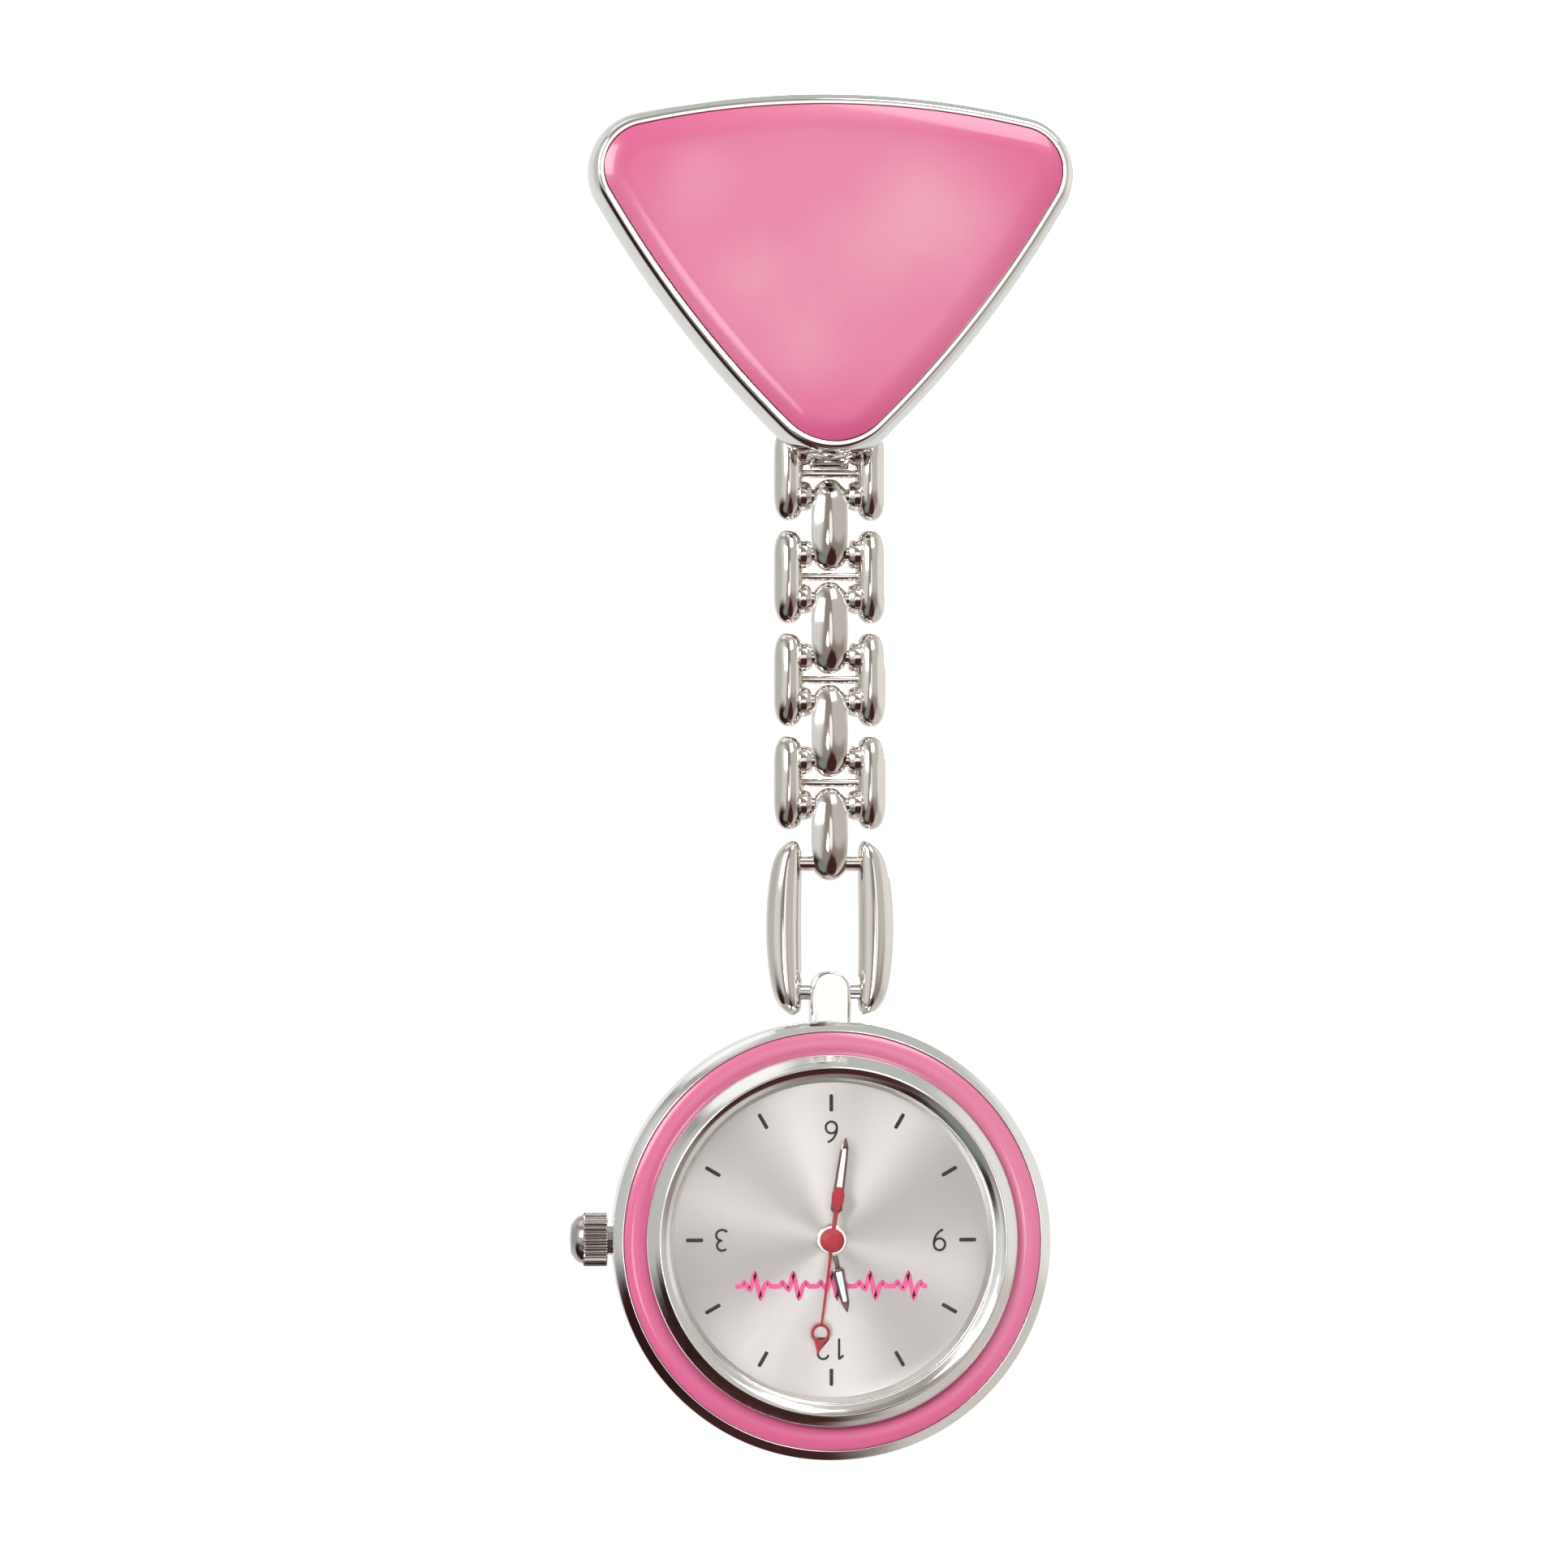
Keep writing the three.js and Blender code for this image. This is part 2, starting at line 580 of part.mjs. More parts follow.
function crown() {
  const domeStart = CROWN_INNER_X - KNURL_LENGTH + 0.01;
  const end = CROWN_INNER_X - CROWN_LENGTH;
  const dome = turnedAlongX(
    [
      [domeStart, 0],
      [domeStart, 1.62],
      [domeStart - 0.35, 1.5],
      [domeStart - 0.68, 1.1],
      [end, 0.45],
      [end, 0],
    ],
    STEM_Y,
    0,
    24,
  );
  const recess = rod("x", 1.45, CROWN_INNER_X - 0.8, CROWN_INNER_X + 1, [0, STEM_Y, 0], 24);
  const thread = rod("x", STEM_R + FIT, CROWN_INNER_X - 1.4, CROWN_INNER_X, [0, STEM_Y, 0]);
  return cut(join(flutedBand(), dome), recess, thread);
}

// The stem, with the groove that the setting lever rides in and a thin pilot at its inner end.
const GROOVE_X = -7.4;
const stem = () =>
  turnedAlongX(
    [
      [CROWN_INNER_X - 1.35, 0],
      [CROWN_INNER_X - 1.35, STEM_R],
      [GROOVE_X - 0.25, STEM_R],
      [GROOVE_X - 0.25, 0.27],
      [GROOVE_X + 0.25, 0.27],
      [GROOVE_X + 0.25, STEM_R],
      [-5.8, STEM_R],
      [-5.8, 0.25],
      [-5.2, 0.25],
      [-5.2, 0],
    ],
    STEM_Y,
    0,
  );

const sleeve = (inner, outer, start, end, sides) =>
  turnedAlongX([[start, inner], [start, outer], [end, outer], [end, inner]], STEM_Y, 0, sides);

add(watch, "case_tube", sleeve(0.6, TUBE_R, -14.75, -12.0), steel);
add(watch, "crown", crown(), chrome);
add(watch, "crown_gasket", sleeve(1.06, 1.4, -14.95, -14.45), black);
add(watch, "stem", stem(), steel);
add(watch, "sliding_pinion", sleeve(STEM_R + 0.04, 0.85, -6.9, -6.0), steel);

// ---------------------------------------------------------------- quartz movement

// A gear's outline with pointed teeth, one tooth's tip at `phase`, centred on [x, z].
function gearOutline(teeth, pitchR, phase, [x, z]) {
  const height = Math.min(0.3 * pitchR, (1.5 * pitchR) / teeth + 0.02);
  const points = [];
  for (let i = 0; i < teeth; i++) {
    for (const [step, radius] of [[0, pitchR + height / 2], [0.5, pitchR - height / 2 - 0.03]]) {
      const angle = phase + (2 * Math.PI * (i + step)) / teeth;
      points.push([x + radius * Math.cos(angle), z + radius * Math.sin(angle)]);
    }
  }
  return polygon(points);
}

// Two meshed gears: the driver has a tooth tip on the line of centres, the driven one a gap.
function gearPair(driverTeeth, drivenTeeth, driverAt, drivenAt) {
  const apart = Math.hypot(drivenAt[0] - driverAt[0], drivenAt[1] - driverAt[1]);
  const bearing = Math.atan2(drivenAt[1] - driverAt[1], drivenAt[0] - driverAt[0]);
  const driverR = (apart * driverTeeth) / (driverTeeth + drivenTeeth);
  return {
    driver: gearOutline(driverTeeth, driverR, bearing, driverAt),
    driven: gearOutline(drivenTeeth, apart - driverR, bearing + Math.PI + Math.PI / drivenTeeth, drivenAt),
  };
}

const polar = (radius, degrees, [x, z] = [0, 0]) => [
  x + radius * Math.cos((degrees * Math.PI) / 180),
  z + radius * Math.sin((degrees * Math.PI) / 180),
];

const WHEEL = 0.15; // thickness of a wheel
const ARBOR_R = 0.12;
const centre = [0, 0];
const thirdAt = polar(2.3, 20);
const fifthAt = polar(2.3, 150);
const rotorAt = polar(2.1, 115, fifthAt);
const minuteWheelAt = polar(2.0, 200);
const batteryAt = polar(5.55, 235);
const BATTERY_R = 3.4;
const PLATE_FRONT_Y = -0.4;
const PLATE_BACK_Y = 0.1;
const BRIDGE_Y = 1.6;

const arbor = ([x, z], low, high, radius = ARBOR_R) => rod("y", radius, low, high, [x, 0, z], 8);
const wheel = (outline, front, thickness = WHEEL) => plate(outline, front + thickness, thickness);

// Going train: rotor to fifth wheel to seconds wheel to third wheel to centre wheel.
const rotorMesh = gearPair(6, 30, rotorAt, fifthAt);
const fifthMesh = gearPair(6, 36, fifthAt, centre);
const secondMesh = gearPair(6, 45, centre, thirdAt);
const thirdMesh = gearPair(6, 48, thirdAt, centre);
// Motion work: cannon pinion to minute wheel to hour wheel.
const cannonMesh = gearPair(8, 24, centre, minuteWheelAt);
const hourMesh = gearPair(6, 24, minuteWheelAt, centre);

const rotor = join(
  rod("y", 0.62, 0.42, 0.8, [rotorAt[0], 0, rotorAt[1]], 16),
  wheel(rotorMesh.driver, 0.79, 0.38),
  arbor(rotorAt, -0.25, 1.8),
);
const fifthWheel = join(
  wheel(rotorMesh.driven, 0.95),
  wheel(fifthMesh.driver, 1.09, 0.38),
  arbor(fifthAt, -0.25, 1.8),
);
const secondsWheel = join(
  wheel(fifthMesh.driven, 1.25),
  wheel(secondMesh.driver, 0.55, 0.75),
  arbor(centre, -2.32, 1.8),
);
const thirdWheel = join(
  wheel(secondMesh.driven, 0.65),
  wheel(thirdMesh.driver, 0.18, 0.5),
  arbor(thirdAt, -0.25, 1.8),
);
const centreWheel = cut(
  join(
    wheel(thirdMesh.driven, 0.25),
    rod("y", 0.4, -2.0, 0.3, [0, 0, 0]),
    wheel(cannonMesh.driver, -0.6, WHEEL),
  ),
  rod("y", 0.2, -3, 1),
);
const minuteWheel = join(
  wheel(cannonMesh.driven, -0.6),
  wheel(hourMesh.driver, -0.77, 0.2),
  arbor(minuteWheelAt, -0.77, -0.05),
);
const hourWheel = cut(
  join(wheel(hourMesh.driven, -0.77, 0.14), rod("y", 0.65, -1.68, -0.7, [0, 0, 0])),
  rod("y", 0.5, -3, 1),
);

add(watch, "rotor", rotor, steel);
add(watch, "fifth_wheel", fifthWheel, brass);
add(watch, "seconds_wheel", secondsWheel, brass);
add(watch, "third_wheel", thirdWheel, brass);
add(watch, "centre_wheel", centreWheel, brass);
add(watch, "minute_wheel", minuteWheel, brass);
add(watch, "hour_wheel", hourWheel, brass);

// The main plate: pillars carry the bridge, and holes take the arbors, the battery and the setting parts.
const pillarsAt = [polar(5.0, -25), polar(5.4, 68), polar(4.6, 178)];
const arborHole = (at) => rod("y", 0.2, -1, 3, [at[0], 0, at[1]], 8);
const arborHoles = [rotorAt, fifthAt, thirdAt, minuteWheelAt].map(arborHole);

function mainPlate() {
  const disc = rod("y", MOVEMENT_R, PLATE_FRONT_Y, PLATE_BACK_Y, [0, 0, 0], CASE_SIDES);
  const rim = ring(8.3, MOVEMENT_R, DIAL_BACK_Y + FIT, PLATE_FRONT_Y + 0.1);
  const pillars = pillarsAt.map(([x, z]) => rod("y", 0.6, 0, BRIDGE_Y - FIT, [x, 0, z], 8));
  const battery = rod("y", BATTERY_R + 0.1, -1, 1, [batteryAt[0], 0, batteryAt[1]], 24);
  const keyless = box([-8.0, -1, -1.0], [-5.6, 1, 1.0]);
  return cut(join(disc, rim, ...pillars), battery, keyless, rod("y", 0.48, -1, 1), ...arborHoles);
}

const bridgeOutline = polygon([
  [-5.4, 0.75],
  [-0.6, -1.3],
  [4.2, -3.0],
  [5.6, -2.2],
  [5.4, 1.4],
  [2.6, 5.6],
  [1.0, 5.6],
  [-1.4, 4.6],
  [-4.4, 3.9],
  [-5.6, 2.4],
]);
const trainBridge = cut(
  plate(bridgeOutline, BRIDGE_Y + 0.3, 0.3),
  ...[rotorAt, fifthAt, thirdAt, centre].map(arborHole),
);

// Stepping motor: a stator around the rotor, and a coil whose core ends in two screwed feet.
const COIL_Z = 6.6;
const coilFeet = [[-4.0, COIL_Z], [4.0, COIL_Z]];
function stator() {
  const outline = polygon([
    [-4.7, 7.2],
    [-4.9, 3.2],
    [-3.9, 1.9],
    [-2.3, 1.9],
    [-1.5, 2.6],
    [3.4, 4.1],
    [4.7, 5.6],
    [4.7, 7.2],
    [3.3, 7.2],
    [3.2, 5.9],
    [-1.6, 4.2],
    [-3.2, 4.6],
    [-3.3, 7.2],
  ]);
  const rotorBore = rod("y", 0.8, 0, 2, [rotorAt[0], 0, rotorAt[1]], 16);
  const screwHoles = coilFeet.map(([x, z]) => rod("y", 0.33, 0, 2, [x, 0, z], 8));
  const pillarHole = rod("y", 0.75, 0, 2, [pillarsAt[1][0], 0, pillarsAt[1][1]], 8);
  return cut(plate(outline, 0.7, 0.3), rotorBore, pillarHole, ...screwHoles);
}
const coilWinding = cut(
  turnedAlongX([[-2.8, 0], [-2.8, 0.85], [2.8, 0.85], [2.8, 0]], 1.0, COIL_Z, 16),
  box([-5, 0.83, COIL_Z - 0.43], [5, 1.17, COIL_Z + 0.43]),
);
const coilCore = cut(
  box([-4.7, 0.85, COIL_Z - 0.4], [4.7, 1.15, COIL_Z + 0.4]),
  ...coilFeet.map(([x, z]) => rod("y", 0.33, 0, 2, [x, 0, z], 8)),
);

// A cheese-head screw with its slot toward the case back.
function screw([x, z], headY, shankEndY) {
  const head = rod("y", 0.5, headY, headY + 0.25, [x, 0, z]);
  const shank = rod("y", 0.3, shankEndY, headY + 0.05, [x, 0, z], 8);
  const slot = box([x - 1, headY + 0.15, z - 0.08], [x + 1, headY + 1, z + 0.08]);
  return cut(join(head, shank), slot);
}

// Circuit board with the timing crystal and the chip, beside the battery.
const boardOutline = polygon([
  [0.8, -2.6],
  [3.4, -3.6],
  [7.2, -3.4],
  [6.0, -6.0],
  [3.6, -7.8],
  [1.2, -7.6],
  [0.9, -5.0],
]);

const batteryCell = turned(
  [[0, -0.38], [BATTERY_R - 0.5, -0.38], [BATTERY_R, -0.15], [BATTERY_R, 2.1], [0, 2.1]],
  24,
).translate(batteryAt[0], 0, batteryAt[1]);

const strapOutline = polygon([
  [batteryAt[0] - 2.6, batteryAt[1] - 0.6],
  [batteryAt[0] - 2.4, batteryAt[1] + 0.6],
  [batteryAt[0] + 2.2, batteryAt[1] + 1.4],
  [3.9, -1.6],
  [5.2, -1.6],
  [5.2, -2.8],
  [3.4, -2.8],
  [batteryAt[0] + 2.2, batteryAt[1] - 0.4],
]);

const screwAt = pillarsAt[0];
const strapScrewHole = rod("y", 0.36, 2, 3, [screwAt[0], 0, screwAt[1]], 8);

add(watch, "main_plate", mainPlate(), brass);
add(watch, "train_bridge", trainBridge, steel);
add(watch, "stator", stator(), steel);
add(watch, "coil_winding", coilWinding, copper);
add(watch, "coil_core", coilCore, steel);
add(watch, "coil_screw_left", screw(coilFeet[0], 1.18, PLATE_BACK_Y + FIT), steel);
add(watch, "coil_screw_right", screw(coilFeet[1], 1.18, PLATE_BACK_Y + FIT), steel);
add(watch, "circuit_board", plate(boardOutline, 0.5, 0.3), green);
add(watch, "timing_crystal", rod("x", 0.65, 1.9, 6.4, [0, 1.2, -4.4]), silver);
add(watch, "driver_chip", box([1.8, 0.53, -7.0], [3.8, 0.95, -5.6]), black);
add(watch, "battery", batteryCell, silver);
add(watch, "battery_strap", cut(plate(strapOutline, 2.3, 0.15), strapScrewHole), steel);
add(watch, "strap_screw", screw(screwAt, 2.33, 1.93), steel);

// The setting lever turns about a stud and its nib rides in the stem's groove.
const leverPivot = [GROOVE_X, 1.9];
const leverOutline = polygon([
  [GROOVE_X - 0.25, -0.2],
  [GROOVE_X + 0.25, -0.2],
  [GROOVE_X + 0.5, 1.8],
  [GROOVE_X + 0.3, 2.4],
  [GROOVE_X - 0.3, 2.4],
  [GROOVE_X - 0.5, 1.8],
]);
const settingLever = join(
  plate(leverOutline, 1.35, 0.25),
  rod("y", 0.14, 0.94, 1.15, [GROOVE_X, 0, 0], 8),
  rod("y", 0.25, PLATE_BACK_Y + FIT, 1.15, [leverPivot[0], 0, leverPivot[1]], 8),
);
add(watch, "setting_lever", settingLever, steel);

// ---------------------------------------------------------------- hands

// Turns a hand drawn pointing up to its place on the dial, clockwise from straight up.
const pointTo = (piece, degrees) => surface(piece).clone().rotateY(THREE.MathUtils.degToRad(degrees));

// A baton hand: a boss, a thin neck, and a slotted blade that narrows to its tip.
function batonHand(length, bossR, boreR, front, thickness) {
  const [neck, shoulder, waist] = [0.14, 0.38, 0.24];
  const start = 1.95;
  const blade = polygon([
    [neck, bossR - 0.2],
    [neck, start - 0.25],
    [shoulder, start],
    [waist, length - 0.55],
    [0.04, length],
    [-0.04, length],
    [-waist, length - 0.55],
    [-shoulder, start],
    [-neck, start - 0.25],
    [-neck, bossR - 0.2],
  ]);
  const [slotStart, slotEnd] = [start + 0.12, length - 0.7];
  const slot = polygon([
    [0.19, slotStart],
    [0.13, slotEnd],
    [-0.13, slotEnd],
    [-0.19, slotStart],
  ]);
  const boss = rod("y", bossR, front, front + thickness, [0, 0, 0], 24);
  const body = join(wheel(blade, front, thickness), boss);
  return cut(body, wheel(slot, front - 1, 3), rod("y", boreR, -4, 2, [0, 0, 0]));
}

// The second hand: a counterweight, a thin blade, a ring and an arrow tip, with a cap over its hub.
function secondHand(front, thickness) {
  const blade = polygon([
    [0.06, -3.2],
    [0.09, 0],
    [0.1, 3.5],
    [0.07, RING_AT - 0.5],
    [-0.07, RING_AT - 0.5],
    [-0.1, 3.5],
    [-0.09, 0],
    [-0.06, -3.2],
  ]);
  const arrow = polygon([
    [0.34, RING_AT + 0.48],
    [0.02, SECOND_LENGTH],
    [-0.02, SECOND_LENGTH],
    [-0.34, RING_AT + 0.48],
  ]);
  const counterweight = superellipse(0.4, 0.75, 2.5, 12, [0, -2.65]);
  const hoop = circle(0, RING_AT, 0.62, 16);
  hoop.holes.push(circle(0, RING_AT, 0.42, 16));
  const back = front + thickness;
  const cap = turned(
    [
      [0, back],
      [HAND_CAP_R, back],
      [HAND_CAP_R, front - 0.1],
      [0.45, front - HAND_CAP_HEIGHT],
      [0, front - HAND_CAP_HEIGHT],
    ],
    16,
  );
  const flat = [blade, arrow, counterweight, hoop].map((outline) => wheel(outline, front, thickness));
  return cut(join(...flat, cap), rod("y", ARBOR_R + 0.02, front + 0.06, 2, [0, 0, 0], 8));
}

const hourHand = batonHand(HOUR_LENGTH, 1.0, 0.67, HOUR_FRONT_Y, HAND_THICKNESS);
const minuteHand = batonHand(MINUTE_LENGTH, 1.12, 0.42, MINUTE_FRONT_Y, HAND_THICKNESS);
add(watch, "hour_hand", pointTo(hourHand, HOUR_ANGLE), silver);
add(watch, "minute_hand", pointTo(minuteHand, MINUTE_ANGLE), silver);
add(watch, "second_hand", pointTo(secondHand(SECOND_FRONT_Y, 0.1), SECOND_ANGLE), red);

export default root;
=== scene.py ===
# %% [markdown]
# # A nurse's fob watch
# A fob watch hangs upside down from a brooch, so that its wearer reads it by lifting it.
# This lesson builds its visible skin in thin steps: chrome, enamel, glass and a brushed dial.
# A model packed from CAD gives the true places and joints, and every new piece rides on one of its bodies.

import math

import bpy
import numpy as np
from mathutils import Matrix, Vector


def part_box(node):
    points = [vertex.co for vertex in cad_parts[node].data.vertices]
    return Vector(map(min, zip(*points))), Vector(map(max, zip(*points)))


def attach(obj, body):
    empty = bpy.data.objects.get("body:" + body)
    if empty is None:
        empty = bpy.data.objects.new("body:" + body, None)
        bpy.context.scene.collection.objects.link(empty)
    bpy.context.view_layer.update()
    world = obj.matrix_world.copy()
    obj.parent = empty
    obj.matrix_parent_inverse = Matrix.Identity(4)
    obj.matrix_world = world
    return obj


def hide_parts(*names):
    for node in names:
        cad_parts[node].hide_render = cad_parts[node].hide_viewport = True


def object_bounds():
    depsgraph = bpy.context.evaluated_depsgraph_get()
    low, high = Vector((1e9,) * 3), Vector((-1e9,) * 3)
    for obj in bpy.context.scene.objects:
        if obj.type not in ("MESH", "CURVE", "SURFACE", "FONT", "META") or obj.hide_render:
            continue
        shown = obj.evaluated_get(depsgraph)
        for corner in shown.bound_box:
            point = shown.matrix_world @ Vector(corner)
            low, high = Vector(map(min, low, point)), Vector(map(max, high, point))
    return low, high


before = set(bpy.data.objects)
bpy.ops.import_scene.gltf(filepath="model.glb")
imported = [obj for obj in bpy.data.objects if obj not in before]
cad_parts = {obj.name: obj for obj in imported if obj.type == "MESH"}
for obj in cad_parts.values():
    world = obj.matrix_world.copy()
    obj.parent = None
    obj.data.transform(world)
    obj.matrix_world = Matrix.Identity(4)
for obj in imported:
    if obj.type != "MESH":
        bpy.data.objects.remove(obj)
cad_low, cad_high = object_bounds()
MM = 0.001

# %% [markdown]
# ## Places
# The CAD is in metres and these shapes are drawn in millimetres, so each place is read from a node's box.
# Reading the places, rather than typing them again, keeps the skin on its skeleton if a size changes.

# %% Read the places from the frame


def box_mm(node):
    """The lowest and highest corner of a CAD node, in millimetres."""
    low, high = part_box(node)
    return np.array(low) / MM, np.array(high) / MM


def middle_of(node):
    """The middle of a CAD node's box: half the sum of its two corners."""
    low, high = box_mm(node)
    return (low + high) / 2


dial_box = box_mm("dial")
CASE = np.array([middle_of("dial")[0], dial_box[0][1] + 1.2, middle_of("dial")[2]])
CHAIN_Y = middle_of("outer_link_1")[1]
LINKS = range(1, 5)
print("case centre", CASE.round(2), "chain plane", CHAIN_Y.round(2))

# %% [markdown]
# ## Camera
# A long lens about 35 cm away keeps the case round. It stands a little to the left of the watch
# and looks slightly upwards, so that a sliver of each left-hand edge shows.

# %% Set the camera
VIEW_FROM = np.array([-24.4, -350.0, -50.8])
VIEW_TO = np.array([-2.9, 0.0, -37.8])
SENSOR = 36.0
HALF_VIEW = math.radians(8.21)

lens = bpy.data.cameras.new("portrait_lens")
lens.sensor_width = SENSOR
lens.lens = SENSOR / 2 / math.tan(HALF_VIEW)
lens.clip_start, lens.clip_end = 0.01, 10
camera = bpy.data.objects.new("camera", lens)
camera.location = Vector(VIEW_FROM * MM)
camera.rotation_euler = Vector(VIEW_TO - VIEW_FROM).to_track_quat("-Z", "Y").to_euler()
bpy.context.scene.collection.objects.link(camera)
bpy.context.scene.camera = camera
print("lens", round(lens.lens, 1), "mm")

# %% [markdown]
# ## Surroundings
# Polished chrome has no colour of its own: what it shows is the room. A plain room makes dull chrome,
# so the world here has soft patches of white, grey, green and maroon, each a smooth cap about one direction.
# Slow noise bends the directions, so that no patch ends in a perfect arc. Only reflections and light see
# the patches: the background that the camera sees is plain white.

# %% Paint the room as soft caps


def node_in(tree, kind, **settings):
    """A shader node with its settings set by name."""
    made = tree.nodes.new(kind)
    for key, value in settings.items():
        setattr(made, key, value)
    return made


def wire(tree, value, socket):
    """Joins an output to an input, or sets the input if value is a plain number or colour."""
    if isinstance(value, bpy.types.NodeSocket):
        tree.links.new(value, socket)
    else:
        socket.default_value = value


def math_node(tree, operation, *values):
    """The output of a Math node for the given inputs."""
    made = node_in(tree, "ShaderNodeMath", operation=operation)
    for value, socket in zip(values, made.inputs):
        wire(tree, value, socket)
    return made.outputs[0]


def vector_node(tree, operation, *values):
    """The vector output of a Vector Math node, or its value output for a dot product or a length."""
    made = node_in(tree, "ShaderNodeVectorMath", operation=operation)
    for value, socket in zip(values, made.inputs):
        wire(tree, value, socket)
    return made.outputs["Value" if operation in ("DOT_PRODUCT", "LENGTH") else "Vector"]


def mix_colour(tree, factor, a, b, blend="MIX"):
    """a where factor is 0 and b where it is 1."""
    made = node_in(tree, "ShaderNodeMix", data_type="RGBA", blend_type=blend)
    for value, socket in zip((factor, a, b), (made.inputs[0], made.inputs[6], made.inputs[7])):
        wire(tree, value, socket)
    return made.outputs[2]


def smooth_range(tree, value, low, high, to_low=0.0, to_high=1.0):
    """Smoothstep: to_low below low, to_high above high, and 3t^2 - 2t^3 between them."""
    made = node_in(tree, "ShaderNodeMapRange", interpolation_type="SMOOTHSTEP")
    for given, socket in zip((value, low, high, to_low, to_high), made.inputs):
        wire(tree, given, socket)
    return made.outputs[0]


# Each cap: direction, cosine where it starts, cosine where it is full, colour.
ROOM = [
    ((0.0, 1.0, 0.0), 0.05, 0.55, (0.84, 0.85, 0.84)),  # the bright wall behind the watch
    ((0.20, 0.15, 1.0), 0.45, 0.90, (0.60, 0.63, 0.60)),  # greenish ceiling
    ((-0.45, 0.10, 0.90), 0.93, 0.985, (1.2, 1.2, 1.2)),  # ceiling lamp
    ((-0.90, -0.45, 0.20), 0.74, 0.93, (0.85, 0.87, 0.86)),  # left window
    ((-1.0, 0.20, 0.10), 0.80, 0.95, (0.62, 0.63, 0.62)),  # left wall
    ((1.0, 0.05, 0.25), 0.70, 0.93, (0.98, 0.97, 0.94)),  # right window
    ((0.55, -0.50, 0.65), 0.80, 0.95, (0.62, 0.62, 0.60)),  # grey screen, upper right
    ((-0.70, -0.20, -0.70), 0.76, 0.90, (0.035, 0.012, 0.012)),  # dark clothes, lower left
    ((-0.26, 0.10, -0.97), 0.86, 0.96, (0.060, 0.022, 0.020)),  # and below
    ((0.78, 0.0, -0.68), 0.80, 0.93, (0.72, 0.69, 0.65)),  # pale sheet, lower right
    ((0.62, -0.76, 0.28), 0.87, 0.95, (0.66, 0.65, 0.62)),  # pale screen in front, right
    ((0.16, -0.74, -0.66), 0.86, 0.93, (0.070, 0.022, 0.022)),  # dark clothes in front, below
    ((-0.60, -0.56, -0.60), 0.945, 0.985, (0.25, 0.31, 0.275)),  # green screen, lower left
    ((-0.24, -0.97, -0.08), 0.9945, 0.999, (8.0, 8.0, 8.0)),  # small lamp in front, left
    ((0.08, -1.0, 0.02), 0.975, 0.992, (1.30, 1.29, 1.27)),  # the lamp around the lens
]
FRONT_GREY = (0.34, 0.30, 0.27)
WOBBLE = (0.22, 0.12, 0.22)  # how far the noise bends a direction along x, y and z

world = bpy.data.worlds.new("soft_room")
bpy.context.scene.world = world
world.use_nodes = True
room = world.node_tree
room.nodes.clear()
straight = node_in(room, "ShaderNodeTexCoord").outputs["Generated"]
ripple = node_in(room, "ShaderNodeTexNoise")
ripple.inputs["Scale"].default_value = 2.4
ripple.inputs["Detail"].default_value = 2.0
wire(room, straight, ripple.inputs["Vector"])
wobble = vector_node(room, "SUBTRACT", ripple.outputs["Color"], (0.5, 0.5, 0.5))
wobble = vector_node(room, "MULTIPLY", wobble, WOBBLE)
direction = vector_node(room, "NORMALIZE", vector_node(room, "ADD", straight, wobble))
shade = (*FRONT_GREY, 1)
for towards, start, full, colour in ROOM:
    unit = tuple(Vector(towards).normalized())
    facing = vector_node(room, "DOT_PRODUCT", direction, unit)
    shade = mix_colour(room, smooth_range(room, facing, start, full), shade, (*colour, 1))
lit_room = node_in(room, "ShaderNodeBackground")
wire(room, shade, lit_room.inputs["Color"])
lit_room.inputs["Strength"].default_value = 1.0
white_room = node_in(room, "ShaderNodeBackground")
white_room.inputs["Color"].default_value = (1, 1, 1, 1)
white_room.inputs["Strength"].default_value = 1.0
seen = node_in(room, "ShaderNodeLightPath").outputs["Is Camera Ray"]
choice = node_in(room, "ShaderNodeMixShader")
wire(room, seen, choice.inputs[0])
wire(room, lit_room.outputs[0], choice.inputs[1])
wire(room, white_room.outputs[0], choice.inputs[2])
wire(room, choice.outputs[0], node_in(room, "ShaderNodeOutputWorld").inputs[0])
bpy.context.scene.view_settings.view_transform = "Standard"
print("room patches", len(ROOM))

# %% [markdown]
# ## Lamps
# Two wide softboxes in front light the enamel and the dial, and a third lights the back. A large lamp
# close by gives the soft edge that a product table has, where a small far lamp would give a hard one.

# %% Hang the softboxes


def softbox(name, at, towards, size, power):
    """A square area lamp at a place in millimetres, turned to face another."""
    lamp = bpy.data.lights.new(name, "AREA")
    lamp.size = size * MM
    lamp.energy = power
    made = bpy.data.objects.new(name, lamp)
    made.location = Vector(at) * MM
    made.rotation_euler = (Vector(towards) - Vector(at)).to_track_quat("-Z", "Y").to_euler()
    bpy.context.scene.collection.objects.link(made)


softbox("key_softbox", (-290, -330, 125), (0, 0, -40), 200, 1.05)
softbox("fill_softbox", (120, -250, 240), (0, 0, -40), 170, 0.62)
softbox("rear_softbox", (120, 380, 120), (0, 0, -40), 260, 1.4)

# %% [markdown]
# ## Mesh tools
# A shell is a closed surface kept as plain arrays: points, and faces grouped by how many corners they have.
# A grid of rings makes most of them: the rows run along the shape and the columns run round it.
# Whole arrays are worked out at once, and the signed volume tells which way the faces look.

# %% Make closed shells from rings


